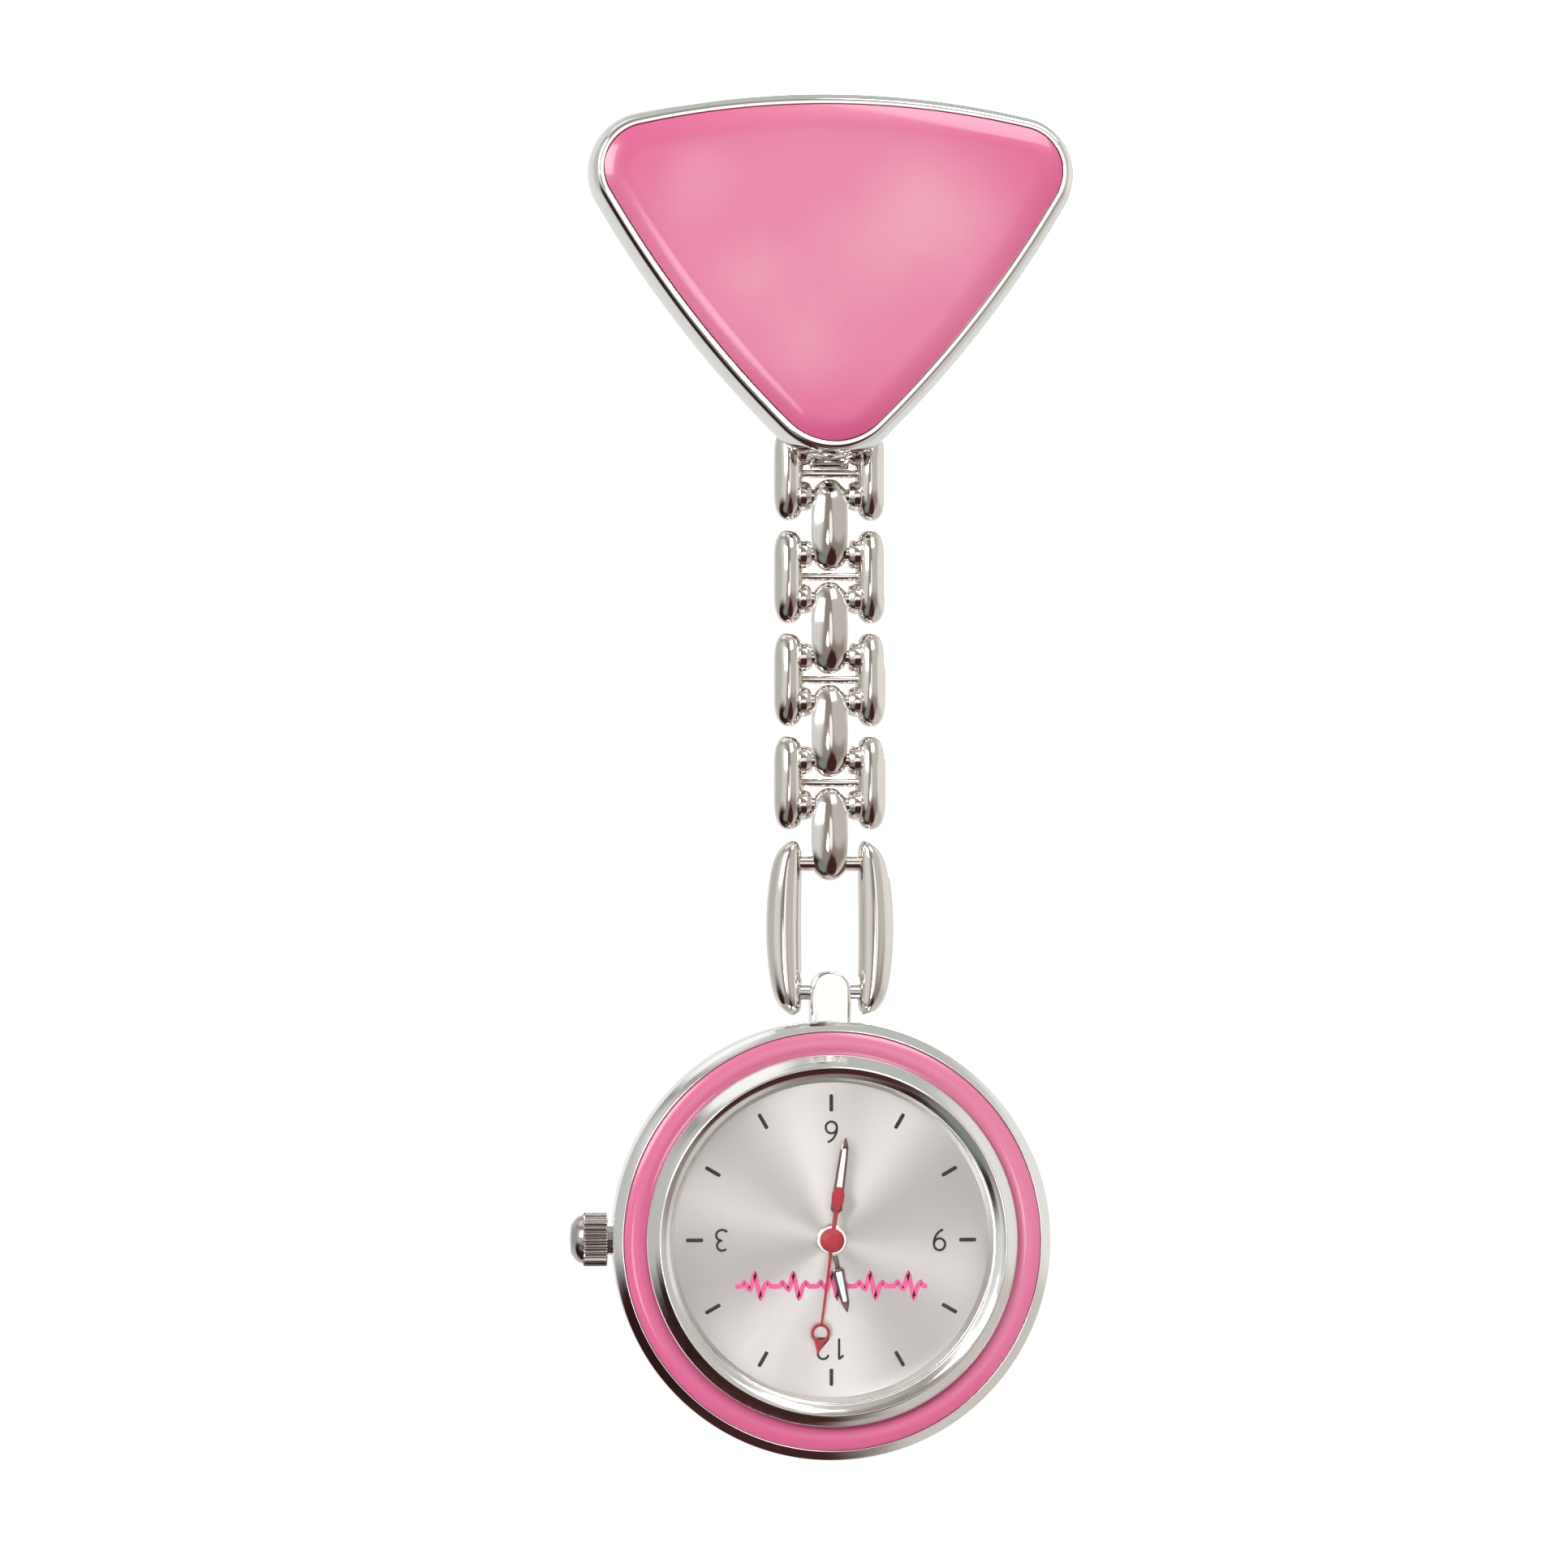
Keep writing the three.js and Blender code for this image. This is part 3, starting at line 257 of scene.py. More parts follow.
def shell_of(rings, ends="cap"):
    """A closed shell from rings (rows, columns, 3): point (i, j) joins (i, j + 1) and (i + 1, j).

    ends "cap" closes the first and last ring with a flat face, "pole" with a fan to its mean, and
    "loop" joins the last ring to the first."""
    rows, columns = rings.shape[:2]
    grid = np.arange(rows * columns).reshape(rows, columns)
    lower = grid if ends == "loop" else grid[:-1]
    upper = np.roll(grid, -1, axis=0) if ends == "loop" else grid[1:]
    corners = (lower, np.roll(lower, -1, axis=1), np.roll(upper, -1, axis=1), upper)
    faces = [np.stack(corners, axis=-1).reshape(-1, 4)]
    points = rings.reshape(-1, 3)
    if ends == "cap":
        faces += [grid[:1, ::-1], grid[-1:]]
    if ends == "pole":
        poles = np.array([rings[0].mean(axis=0), rings[-1].mean(axis=0)])
        first = np.full(columns, len(points))
        fans = [
            np.stack([np.roll(grid[0], -1), grid[0], first], axis=-1),
            np.stack([grid[-1], np.roll(grid[-1], -1), first + 1], axis=-1),
        ]
        faces += [np.concatenate(fans)]
        points = np.concatenate([points, poles])
    return facing_out(points, faces)


def facing_out(points, faces):
    """Turns the faces round if the volume, the sum of a . (b x c) / 6 over the triangles, is negative."""
    volume = 0.0
    for group in faces:
        a = points[group[:, 0]]
        for k in range(1, group.shape[1] - 1):
            b, c = points[group[:, k]], points[group[:, k + 1]]
            volume += np.einsum("ij,ij->", a, np.cross(b, c)) / 6
    if volume < 0:
        faces = [group[:, ::-1] for group in faces]
    return points, faces


def moved(shell, offset):
    """The shell shifted by an offset in millimetres."""
    return shell[0] + np.asarray(offset, float), shell[1]


def piece(name, shells, body, finish, replaces=(), sharp=32.0):
    """One object from closed shells in millimetres. Edges that turn by more than sharp degrees stay crisp."""
    starts = np.cumsum([0] + [len(points) for points, _ in shells])
    points = np.concatenate([points for points, _ in shells]) * MM
    loops, sizes = [], []
    for start, (_, faces) in zip(starts, shells):
        for group in faces:
            loops.append((group + start).ravel())
            sizes.append(np.full(len(group), group.shape[1]))
    loops, sizes = np.concatenate(loops), np.concatenate(sizes)
    mesh = bpy.data.meshes.new(name)
    mesh.vertices.add(len(points))
    mesh.vertices.foreach_set("co", points.ravel())
    mesh.loops.add(len(loops))
    mesh.loops.foreach_set("vertex_index", loops.astype(np.int32))
    mesh.polygons.add(len(sizes))
    mesh.polygons.foreach_set("loop_start", (np.cumsum(sizes) - sizes).astype(np.int32))
    mesh.update(calc_edges=True)
    mesh.validate()
    mesh.shade_smooth()
    mesh.set_sharp_from_angle(angle=math.radians(sharp))
    mesh.materials.append(finish)
    made = bpy.data.objects.new(name, mesh)
    bpy.context.scene.collection.objects.link(made)
    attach(made, body)
    if replaces:
        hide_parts(*replaces)
    print(name, len(mesh.polygons), "faces")
    return made


# %% [markdown]
# ### Drawing tools
# A turned or cast edge is never a knife edge, and the small round it has catches the light.
# So outlines are drawn as corners with radii, and each corner is replaced by a short arc.

# %% Draw rounded outlines


def rounded(corners, steps=6, closed=False):
    """A polyline through (x, y, radius) corners. Each corner becomes an arc whose centre lies on the
    corner's bisector at radius / sin(half the angle)."""
    corners = np.array([(*c, 0)[:3] for c in corners], float)
    count = len(corners)
    out = []
    for i, (x, y, radius) in enumerate(corners):
        at = np.array([x, y])
        open_end = not closed and i in (0, count - 1)
        if radius == 0 or open_end:
            out.append(at[None])
            continue
        before = corners[i - 1, :2] - at
        after = corners[(i + 1) % count, :2] - at
        before, after = before / np.linalg.norm(before), after / np.linalg.norm(after)
        half = math.acos(np.clip(before @ after, -1, 1)) / 2
        centre = at + (before + after) / np.linalg.norm(before + after) * radius / math.sin(half)
        reach = radius / math.tan(half)
        first, last = at + before * reach - centre, at + after * reach - centre
        start = math.atan2(first[1], first[0])
        turn = (math.atan2(last[1], last[0]) - start + math.pi) % (2 * math.pi) - math.pi
        angles = start + turn * np.linspace(0, 1, steps + 1)
        out.append(centre + radius * np.stack([np.cos(angles), np.sin(angles)], axis=-1))
    return np.concatenate(out)


def spaced(path, most, closed=False):
    """The same path with points added so that no stretch is longer than most: a stretch of length L
    gets ceil(L / most) equal steps."""
    ends = np.roll(path, -1, axis=0) if closed else path[1:]
    starts = path if closed else path[:-1]
    counts = np.maximum(1, np.ceil(np.linalg.norm(ends - starts, axis=1) / most)).astype(int)
    index = np.repeat(np.arange(len(starts)), counts)
    step = np.arange(counts.sum()) - np.repeat(np.cumsum(counts) - counts, counts)
    share = (step / counts[index])[:, None]
    points = starts[index] + (ends - starts)[index] * share
    return points if closed else np.concatenate([points, path[-1:]])


def turned(profile, columns=192, ends="pole", at=CASE):
    """A body of revolution about the y axis: ring i is (r cos a, h, r sin a) for profile[i] = (r, h)."""
    angle = np.linspace(0, 2 * np.pi, columns, endpoint=False)
    radius, height = profile[:, :1], profile[:, 1:]
    rings = np.stack([radius * np.cos(angle), height + 0 * angle, radius * np.sin(angle)], axis=-1)
    return moved(shell_of(rings, ends), at)


def turned_x(profile, at, columns=64, ends="pole"):
    """The same about a line along x: ring i is (h, r cos a, r sin a) for profile[i] = (h, r)."""
    angle = np.linspace(0, 2 * np.pi, columns, endpoint=False)
    along, radius = profile[:, :1], profile[:, 1:]
    rings = np.stack([along + 0 * angle, radius * np.cos(angle), radius * np.sin(angle)], axis=-1)
    return moved(shell_of(rings, ends), at)


def turned_z(profile, at, columns=64, ends="pole"):
    """The same about a line along z: ring i is (r cos a, r sin a, h) for profile[i] = (r, h)."""
    points, faces = turned(profile, columns, ends, (0, 0, 0))
    return facing_out(points[:, [0, 2, 1]] + np.asarray(at, float), faces)


def oval(a, b, power, count, at=(0, 0)):
    """|x / a|^p + |y / b|^p = 1, as x = a sgn(cos t)|cos t|^(2/p) and the same with sin for y."""
    t = np.linspace(0, 2 * np.pi, count, endpoint=False) + np.pi / count
    c, s = np.cos(t), np.sin(t)
    xy = [a * np.sign(c) * np.abs(c) ** (2 / power), b * np.sign(s) * np.abs(s) ** (2 / power)]
    return np.stack(xy, axis=-1) + np.array(at, float)


def inset(outline, amount):
    """The outline moved inwards: each corner goes along n1 + n2 over 1 + n1 . n2, its mitre."""
    edge = np.roll(outline, -1, axis=0) - outline
    edge = edge / np.linalg.norm(edge, axis=1, keepdims=True)
    normal = np.stack([edge[:, 1], -edge[:, 0]], axis=-1)
    before = np.roll(normal, 1, axis=0)
    mitre = (before + normal) / (1 + np.sum(before * normal, axis=1, keepdims=True))
    x, y = outline.T
    area = np.sum(x * np.roll(y, -1) - np.roll(x, -1) * y)
    return outline - np.sign(area) * amount * mitre


AXES = {"x": (1, 2, 0), "y": (0, 2, 1), "z": (0, 1, 2)}


def plate(outline, axis, low, high, edge=0.05, steps=3):
    """An outline given thickness from low to high along an axis, with quarter-round edges: at angle a
    of the edge the outline is inset by edge (1 - sin a) and lies edge (1 - cos a) from the face."""
    a = np.linspace(0, np.pi / 2, steps + 1)
    insets = np.concatenate([edge * (1 - np.sin(a)), edge * (1 - np.sin(a[::-1]))])
    heights = np.concatenate([low + edge * (1 - np.cos(a)), high - edge * (1 - np.cos(a[::-1]))])
    rings = np.zeros((len(insets), len(outline), 3))
    first, second, out = AXES[axis]
    for k, (amount, height) in enumerate(zip(insets, heights)):
        rings[k][:, [first, second]] = inset(outline, amount)
        rings[k][:, out] = height
    return shell_of(rings, "cap")


# %% [markdown]
# ## Finishes
# Each finish is a small network of nodes that reads Object coordinates in metres, so a scale of 1000
# means one ripple per millimetre. Even polished chrome has faint swirls and uneven gloss, and those
# break up its reflections enough to look like metal and not like a drawing of it.

# %% Mix the metals, enamel and plastics


def new_finish(name):
    """An empty material and its tree, Principled shader and output."""
    made = bpy.data.materials.new(name)
    made.use_nodes = True
    tree = made.node_tree
    return made, tree, tree.nodes["Principled BSDF"], tree.nodes["Material Output"]


def place(tree, centre=None, scale=(1, 1, 1)):
    """Object coordinates, centred on a place in millimetres and scaled."""
    where = node_in(tree, "ShaderNodeTexCoord").outputs["Object"]
    if centre is not None:
        where = vector_node(tree, "SUBTRACT", where, tuple(np.asarray(centre) * MM))
    return vector_node(tree, "MULTIPLY", where, scale)


def noise(tree, where, scale, detail=3.0, rough=0.55):
    """Fractal noise from 0 to 1."""
    made = node_in(tree, "ShaderNodeTexNoise")
    wire(tree, where, made.inputs["Vector"])
    made.inputs["Scale"].default_value = scale
    made.inputs["Detail"].default_value = detail
    made.inputs["Roughness"].default_value = rough
    return made.outputs["Fac"]


def bump(tree, shader, height, strength, distance):
    """Tilts the shader's normal by a height in millimetres times distance."""
    made = node_in(tree, "ShaderNodeBump")
    made.inputs["Strength"].default_value = strength
    made.inputs["Distance"].default_value = distance * MM
    wire(tree, height, made.inputs["Height"])
    wire(tree, made.outputs[0], shader.inputs["Normal"])


def metal(name, dark, light, gloss, grain=(1, 1, 1), scale=900, depth=0.004, strength=0.25):
    """Metal whose colour and roughness drift between two values with a fine grain over slow cloud."""
    made, tree, shader, _ = new_finish(name)
    where = place(tree, scale=grain)
    cloud, fine = noise(tree, where, 160), noise(tree, where, scale, 4.0)
    wire(tree, mix_colour(tree, cloud, (*dark, 1), (*light, 1)), shader.inputs["Base Color"])
    wire(tree, smooth_range(tree, fine, 0.3, 0.7, *gloss), shader.inputs["Roughness"])
    shader.inputs["Metallic"].default_value = 1.0
    bump(tree, shader, fine, strength, depth)
    return made


def plastic(name, dark, light, roughness, scale=700, depth=0.006, coat=0.0, shine=0.5):
    """Moulded plastic, rubber or paint: a fine texture under an optional clear coat."""
    made, tree, shader, _ = new_finish(name)
    fine = noise(tree, place(tree), scale, 4.0)
    wire(tree, mix_colour(tree, fine, (*dark, 1), (*light, 1)), shader.inputs["Base Color"])
    gloss = smooth_range(tree, fine, 0.2, 0.8, roughness - 0.05, roughness + 0.05)
    wire(tree, gloss, shader.inputs["Roughness"])
    shader.inputs["Specular IOR Level"].default_value = shine
    shader.inputs["Coat Weight"].default_value = coat
    shader.inputs["Coat Roughness"].default_value = 0.03
    bump(tree, shader, fine, 0.3, depth)
    return made


SMOOTH = 0.0008  # depth of the plated parts' swirls, in millimetres
chrome = metal("polished_chrome", (0.74, 0.73, 0.71), (0.84, 0.83, 0.81), (0.04, 0.09), depth=SMOOTH)
satin_chrome = metal("satin_chrome", (0.72, 0.71, 0.69), (0.82, 0.81, 0.79), (0.11, 0.17), depth=SMOOTH)
cast_chrome = metal("tumbled_chrome", (0.66, 0.62, 0.58), (0.80, 0.765, 0.725), (0.05, 0.11), scale=420)
# The hands' frames are silver; this dark maroon colour is a painted reflection of the dark room that they
# mirror.
hand_reflection_steel = metal("hand_frame_painted_reflection", (0.14, 0.07, 0.065), (0.26, 0.16, 0.15), (0.16, 0.26), scale=1500)
crown_steel = metal("worn_crown_steel", (0.42, 0.38, 0.37), (0.60, 0.56, 0.54), (0.12, 0.22), scale=900)
steel = metal("drawn_steel", (0.50, 0.50, 0.50), (0.66, 0.66, 0.65), (0.20, 0.34), (0.15, 1, 1), 2600)
plate_steel = metal("stamped_steel", (0.45, 0.45, 0.45), (0.62, 0.62, 0.61), (0.24, 0.38), (1, 1, 0.2), 1800)
brass = metal("turned_brass", (0.62, 0.42, 0.14), (0.78, 0.57, 0.24), (0.22, 0.36), scale=2200)
copper = metal("enamelled_copper_wire", (0.42, 0.13, 0.04), (0.62, 0.22, 0.08), (0.25, 0.4), (8, 1, 1), 900)
cell_steel = metal("cell_can", (0.66, 0.66, 0.65), (0.80, 0.80, 0.79), (0.18, 0.30), scale=1500)
holder_plastic = plastic("holder_plastic", (0.72, 0.70, 0.64), (0.80, 0.78, 0.72), 0.5)
rubber = plastic("gasket_rubber", (0.012, 0.012, 0.013), (0.03, 0.03, 0.032), 0.6)
clear_rubber = plastic("clear_gasket", (0.70, 0.72, 0.70), (0.80, 0.82, 0.80), 0.35)
board_green = plastic("circuit_board_green", (0.01, 0.12, 0.05), (0.03, 0.20, 0.08), 0.4, coat=0.5)
chip_black = plastic("chip_epoxy", (0.01, 0.01, 0.01), (0.03, 0.03, 0.03), 0.5)
print("finishes", len(bpy.data.materials))

# %% [markdown]
# ### Enamel
# The pink is resin enamel: a wet gloss over a colour that goes from pale in the middle to deeper towards the
# edges. On the panel, soft paler patches are painted highlights: the broad reflections of the lamps in the
# domed enamel, painted into its colour. On the ring the pale middle is moved up and right, so its lower left
# is painted shade. A clear coat over a soft base gives two highlights, one sharp and one broad.

# %% Pour the enamel


def poured_enamel(name, deep, pale, centre, reach, painted_highlights=()):
    """Pink that goes from pale to deep as |(x, z) / reach|, the distance from the centre, nears 1. Each
    painted highlight (x, z, radius, strength) is a soft paler patch, a reflection of a lamp painted into the
    colour."""
    made, tree, shader, _ = new_finish(name)
    scale = (1 / (reach[0] * MM), 0, 1 / (reach[1] * MM))
    distance = vector_node(tree, "LENGTH", place(tree, centre, scale))
    cloud = noise(tree, place(tree), 95, 2.0)
    depth = math_node(tree, "ADD", distance, math_node(tree, "MULTIPLY", cloud, 0.25))
    edge = smooth_range(tree, depth, 0.60, 1.25)
    body = mix_colour(tree, edge, (*pale, 1), (*deep, 1))
    highlight_edge_noise = math_node(tree, "MULTIPLY", noise(tree, place(tree), 170, 2.0), 4.0 * MM)
    # Painted highlights: each patch mixes in a paler pink where the domed enamel would mirror a lamp.
    for x, z, radius, strength in painted_highlights:
        away = vector_node(tree, "LENGTH", place(tree, (x, 0, z), (1, 0, 1)))
        noisy_distance = math_node(tree, "ADD", away, highlight_edge_noise)
        spot = smooth_range(tree, noisy_distance, (radius + 2) * MM, 2 * MM, 0.0, strength)
        body = mix_colour(tree, spot, body, (*PAINTED_HIGHLIGHT_PINK, 1))
    wire(tree, body, shader.inputs["Base Color"])
    wire(tree, smooth_range(tree, cloud, 0.3, 0.7, 0.30, 0.38), shader.inputs["Roughness"])
    shader.inputs["Coat Weight"].default_value = 0.6
    shader.inputs["Coat Roughness"].default_value = 0.09
    bump(tree, shader, noise(tree, place(tree), 260, 2.0), 0.12, 0.004)
    return made


DEEP_PINK = (0.62, 0.100, 0.245)
PALE_PINK = (0.66, 0.175, 0.310)
# The paler pink of the painted highlights, the lamps' soft reflections painted into the enamel's colour.
PAINTED_HIGHLIGHT_PINK = (0.72, 0.300, 0.400)
# Painted highlights on the panel: (x, z, radius, strength) of each soft lamp reflection painted into the
# colour.
PANEL_PAINTED_HIGHLIGHTS = [
    (6.0, -1.2, 6.5, 0.75),
    (1.5, -4.5, 5.5, 0.4),
    (-5.0, -6.0, 4.2, 0.55),
    (-2.0, -9.5, 4.5, 0.5),
    (-8.8, 0.4, 3.5, 0.35),
]
panel_pink = poured_enamel("panel_enamel", DEEP_PINK, PALE_PINK, (0, 0, -3.6), (15.5, 11.5), PANEL_PAINTED_HIGHLIGHTS)
# The ring's pale middle is moved 3.5 mm right and 4 mm up, so its lower left is painted darker: painted shade
# where the lamps light it less.
ring_pink = poured_enamel("ring_enamel", DEEP_PINK, PALE_PINK, CASE + np.array([3.5, 0, 4.0]), (17.5, 17.5))
ink_pink = plastic("printed_pink", (0.60, 0.06, 0.20), (0.68, 0.09, 0.26), 0.5, shine=0.2)
ink_black = plastic("printed_black", (0.008, 0.008, 0.008), (0.02, 0.02, 0.02), 0.5, shine=0.15)
hand_red = plastic("red_lacquer", (0.24, 0.004, 0.010), (0.36, 0.008, 0.020), 0.42, shine=0.3)
lume = plastic("pale_blue_inlay", (0.56, 0.72, 0.76), (0.70, 0.82, 0.85), 0.5)
white_inlay = plastic("white_inlay", (0.74, 0.72, 0.68), (0.84, 0.82, 0.78), 0.5)

# %% [markdown]
# ### Brushed dial
# A sunray dial is brushed outwards from its centre. Each hairline is a tiny cylinder, so the dial
# reflects along a bow tie that turns with the light. An anisotropic shader does that, given the
# direction of the brush at every point, and the hairlines themselves are noise that depends only on angle.

# %% Brush the dial


def sunray(name, dark, light, centre):
    """Silver brushed along (x, 0, z). The shader's tangent is the direction the light spreads in, which
    is across the brush: (-z, 0, x). The hairlines are noise on the unit circle."""
    made, tree, shader, _ = new_finish(name)
    flat = place(tree, centre, (1, 0, 1))
    ray = vector_node(tree, "NORMALIZE", flat)
    hair = noise(tree, ray, 60, 4.0, 0.6)
    band = noise(tree, ray, 2.2, 2.0)
    tone = math_node(tree, "MULTIPLY", math_node(tree, "ADD", hair, band), 0.5)
    wire(tree, mix_colour(tree, tone, (*dark, 1), (*light, 1)), shader.inputs["Base Color"])
    wire(tree, smooth_range(tree, hair, 0.3, 0.7, 0.28, 0.33), shader.inputs["Roughness"])
    shader.inputs["Metallic"].default_value = 0.88
    shader.inputs["Anisotropic"].default_value = 0.92
    across = vector_node(tree, "CROSS_PRODUCT", ray, (0, 1, 0))
    wire(tree, across, shader.inputs["Tangent"])
    return made


dial_silver = sunray("sunray_silver", (0.53, 0.50, 0.49), (0.66, 0.625, 0.615), CASE)

# %% [markdown]
# ### Crystal glass
# The crystal is a flat disc of mineral glass. Glass that bends light also blocks the lamps,
# so shadow rays are let straight through and the dial stays bright.

# %% Melt the glass


def clear_glass(name):
    """Glass for the eye and clear air for the lamps, chosen by the kind of ray."""
    made, tree, shader, output = new_finish(name)
    haze = noise(tree, place(tree), 300, 2.0)
    tint = mix_colour(tree, haze, (0.975, 0.985, 0.98, 1), (0.99, 0.995, 0.99, 1))
    wire(tree, tint, shader.inputs["Base Color"])
    shader.inputs["Transmission Weight"].default_value = 1.0
    shader.inputs["Roughness"].default_value = 0.0
    shader.inputs["IOR"].default_value = 1.25
    clear = node_in(tree, "ShaderNodeBsdfTransparent")
    choice = node_in(tree, "ShaderNodeMixShader")
    wire(tree, node_in(tree, "ShaderNodeLightPath").outputs["Is Shadow Ray"], choice.inputs[0])
    wire(tree, shader.outputs[0], choice.inputs[1])
    wire(tree, clear.outputs[0], choice.inputs[2])
    wire(tree, choice.outputs[0], output.inputs["Surface"])
    return made


glass = clear_glass("mineral_glass")

# %% [markdown]
# ## Brooch frame
# The frame is a rounded triangle drawn by six arcs: three tight corners and three shallow sides that
# touch them. Growing such an outline only adds to each radius, so one function gives every contour
# from the outer wall to the pocket, and the rings of the shell are those contours at their depths.

# %% Cast the brooch frame
CORNERS = [(-11.85, 1.35, 2.84), (11.85, 1.35, 2.84), (0.0, -12.07, 3.99)]
SIDE_RADII = [55.6, 72.0, 72.0]
FRAME_BACK, FRAME_FRONT, POCKET_FLOOR = -2.6, -5.2, -3.6
RIM, WALL, SLOPE = 0.25, 1.0, 2.4  # rim and wall beyond the panel, and how far back the wall curves


def triangle_outline(grow=0.0, corner_steps=44, side_steps=56):
    """The rounded triangle as (x, z) points. Every arc is centre + (radius + grow)(cos a, sin a). A side's
    centre is where circles of (side radius - corner radius) about its two corner centres cross."""
    sides = []
    for i, (ax, az, ar) in enumerate(CORNERS):
        bx, bz, br = CORNERS[(i + 1) % 3]
        to_a, to_b = SIDE_RADII[i] - ar, SIDE_RADII[i] - br
        apart = math.hypot(bx - ax, bz - az)
        ux, uz = (bx - ax) / apart, (bz - az) / apart
        along = (to_a**2 - to_b**2 + apart**2) / (2 * apart)
        inward = math.sqrt(to_a**2 - along**2)
        sides.append((ax + ux * along + uz * inward, az + uz * along - ux * inward, SIDE_RADII[i]))
    arcs = []
    for i, corner in enumerate(CORNERS):
        before, after, following = sides[i - 1], sides[i], CORNERS[(i + 1) % 3]
        start = math.atan2(corner[1] - before[1], corner[0] - before[0])
        end = math.atan2(corner[1] - after[1], corner[0] - after[0])
        last = math.atan2(following[1] - after[1], following[0] - after[0])
        arcs.append((corner, start, (start - end) % (2 * math.pi), corner_steps))
        arcs.append((after, end, (end - last) % (2 * math.pi), side_steps))
    out = []
    for (x, z, radius), start, turn, steps in arcs:
        angle = start - turn * np.arange(steps) / steps
        grown = radius + grow
        out.append(np.stack([x + grown * np.cos(angle), z + grown * np.sin(angle)], axis=-1))
    return np.concatenate(out)


def contour(grow, y, shrink=1.0):
    """The outline grown by grow at depth y, pulled towards the panel's middle by shrink."""
    flat = triangle_outline(grow)
    middle = np.array([0.0, -3.3])
    flat = middle + (flat - middle) * shrink
    return np.stack([flat[:, 0], np.full(len(flat), y), flat[:, 1]], axis=-1)


arch = np.linspace(np.pi / 2, 0.06, 22)
slope = np.stack([RIM + (WALL - RIM) * np.sin(arch), FRAME_FRONT + SLOPE * (1 - np.cos(arch))], axis=-1)
rear = rounded([(0.30, FRAME_BACK), (WALL, FRAME_BACK, 0.15), (WALL, FRAME_FRONT + SLOPE)], 6)
lip = rounded([(RIM, FRAME_FRONT), (0.04, FRAME_FRONT, 0.035), (0.0, -5.05, 0.05), (0.0, POCKET_FLOOR)], 6)
wall = spaced(np.concatenate([rear[:-1], slope, lip]), 0.25)
rings = [contour(0.20, FRAME_BACK, s) for s in (0.05, 0.35, 0.65, 0.9, 0.98)]
rings += [contour(grow, y) for grow, y in wall]
rings += [contour(0.0, POCKET_FLOOR, s) for s in (0.97, 0.6, 0.1)]
frame_shell = shell_of(np.stack(rings), "pole")

EYE_R, LUG_HALF_WIDTH = 1.12, 1.35
first_pin = box_mm("outer_link_1")[1][2] - 1.585
eye_turn = np.linspace(-np.pi / 2, np.pi / 2, 30)
eye_rim = np.stack([CHAIN_Y + EYE_R * np.cos(eye_turn), first_pin + EYE_R * np.sin(eye_turn)], axis=-1)
web = [(FRAME_BACK - 0.2, first_pin + 3.6), (FRAME_BACK - 0.2, first_pin + 0.6)]
lug_side = np.concatenate([web, eye_rim])
lug_shell = plate(lug_side, "x", -LUG_HALF_WIDTH, LUG_HALF_WIDTH, 0.25, 5)
piece("brooch_casting", [frame_shell, lug_shell], "brooch", chrome, ["brooch_frame"])

# %% [markdown]
# ## Enamel panel
# The enamel fills the pocket and swells above the rim, held up by its own surface tension. Near the
# edge it curves quickly and then it runs nearly flat, so its height is a steep edge term plus a low dome.

# %% Fill the panel
EDGE_WIDTH = 1.8


def panel_height(depth, x, z):
    """Rise in millimetres: 0.3 (1 - (1 - depth / EDGE_WIDTH)^2.2), plus a paraboloid of 0.2."""
    edge = 0.3 * (1 - np.maximum(0, 1 - depth / EDGE_WIDTH) ** 2.2)
    return edge + 0.2 * (1 - (x / 16.5) ** 2 - ((z + 3.3) / 14.0) ** 2)


depths = np.concatenate([[0.03, 0.05, 0.09, 0.15, 0.22], np.linspace(0.32, EDGE_WIDTH, 16)])
edge_rings = [contour(-d, 0.0) for d in depths]
inner_rings = [contour(-EDGE_WIDTH, 0.0, s) for s in np.linspace(0.96, 0.02, 30)]
top = np.stack(edge_rings + inner_rings)
reach = np.concatenate([depths, np.full(len(inner_rings), EDGE_WIDTH)])[:, None]
top[..., 1] = FRAME_FRONT + 0.07 - panel_height(reach - depths[0], top[..., 0], top[..., 2])
under = np.stack([contour(-0.03, POCKET_FLOOR - 0.03, s) for s in (0.02, 0.6, 0.999, 1.0)])
panel_shell = shell_of(np.concatenate([under, top]), "pole")
piece("panel_fill", [panel_shell], "brooch", panel_pink, ["enamel_panel"])

# %% [markdown]
# ## Pin at the back
# A stamped bar is riveted to the frame. It carries two ears for the needle's rivet and two cheeks
# for the catch, all thin sheet with small rounded edges, so each is a drawn outline given thickness.

# %% Fold the pin base and catch
HINGE_X, CATCH_X, BASE_REAR = -10.6, 10.6, -2.17
SHEET = 0.4  # thickness of the bar, ears and cheeks
SLOT = 0.475  # half the width of the catch's mouth

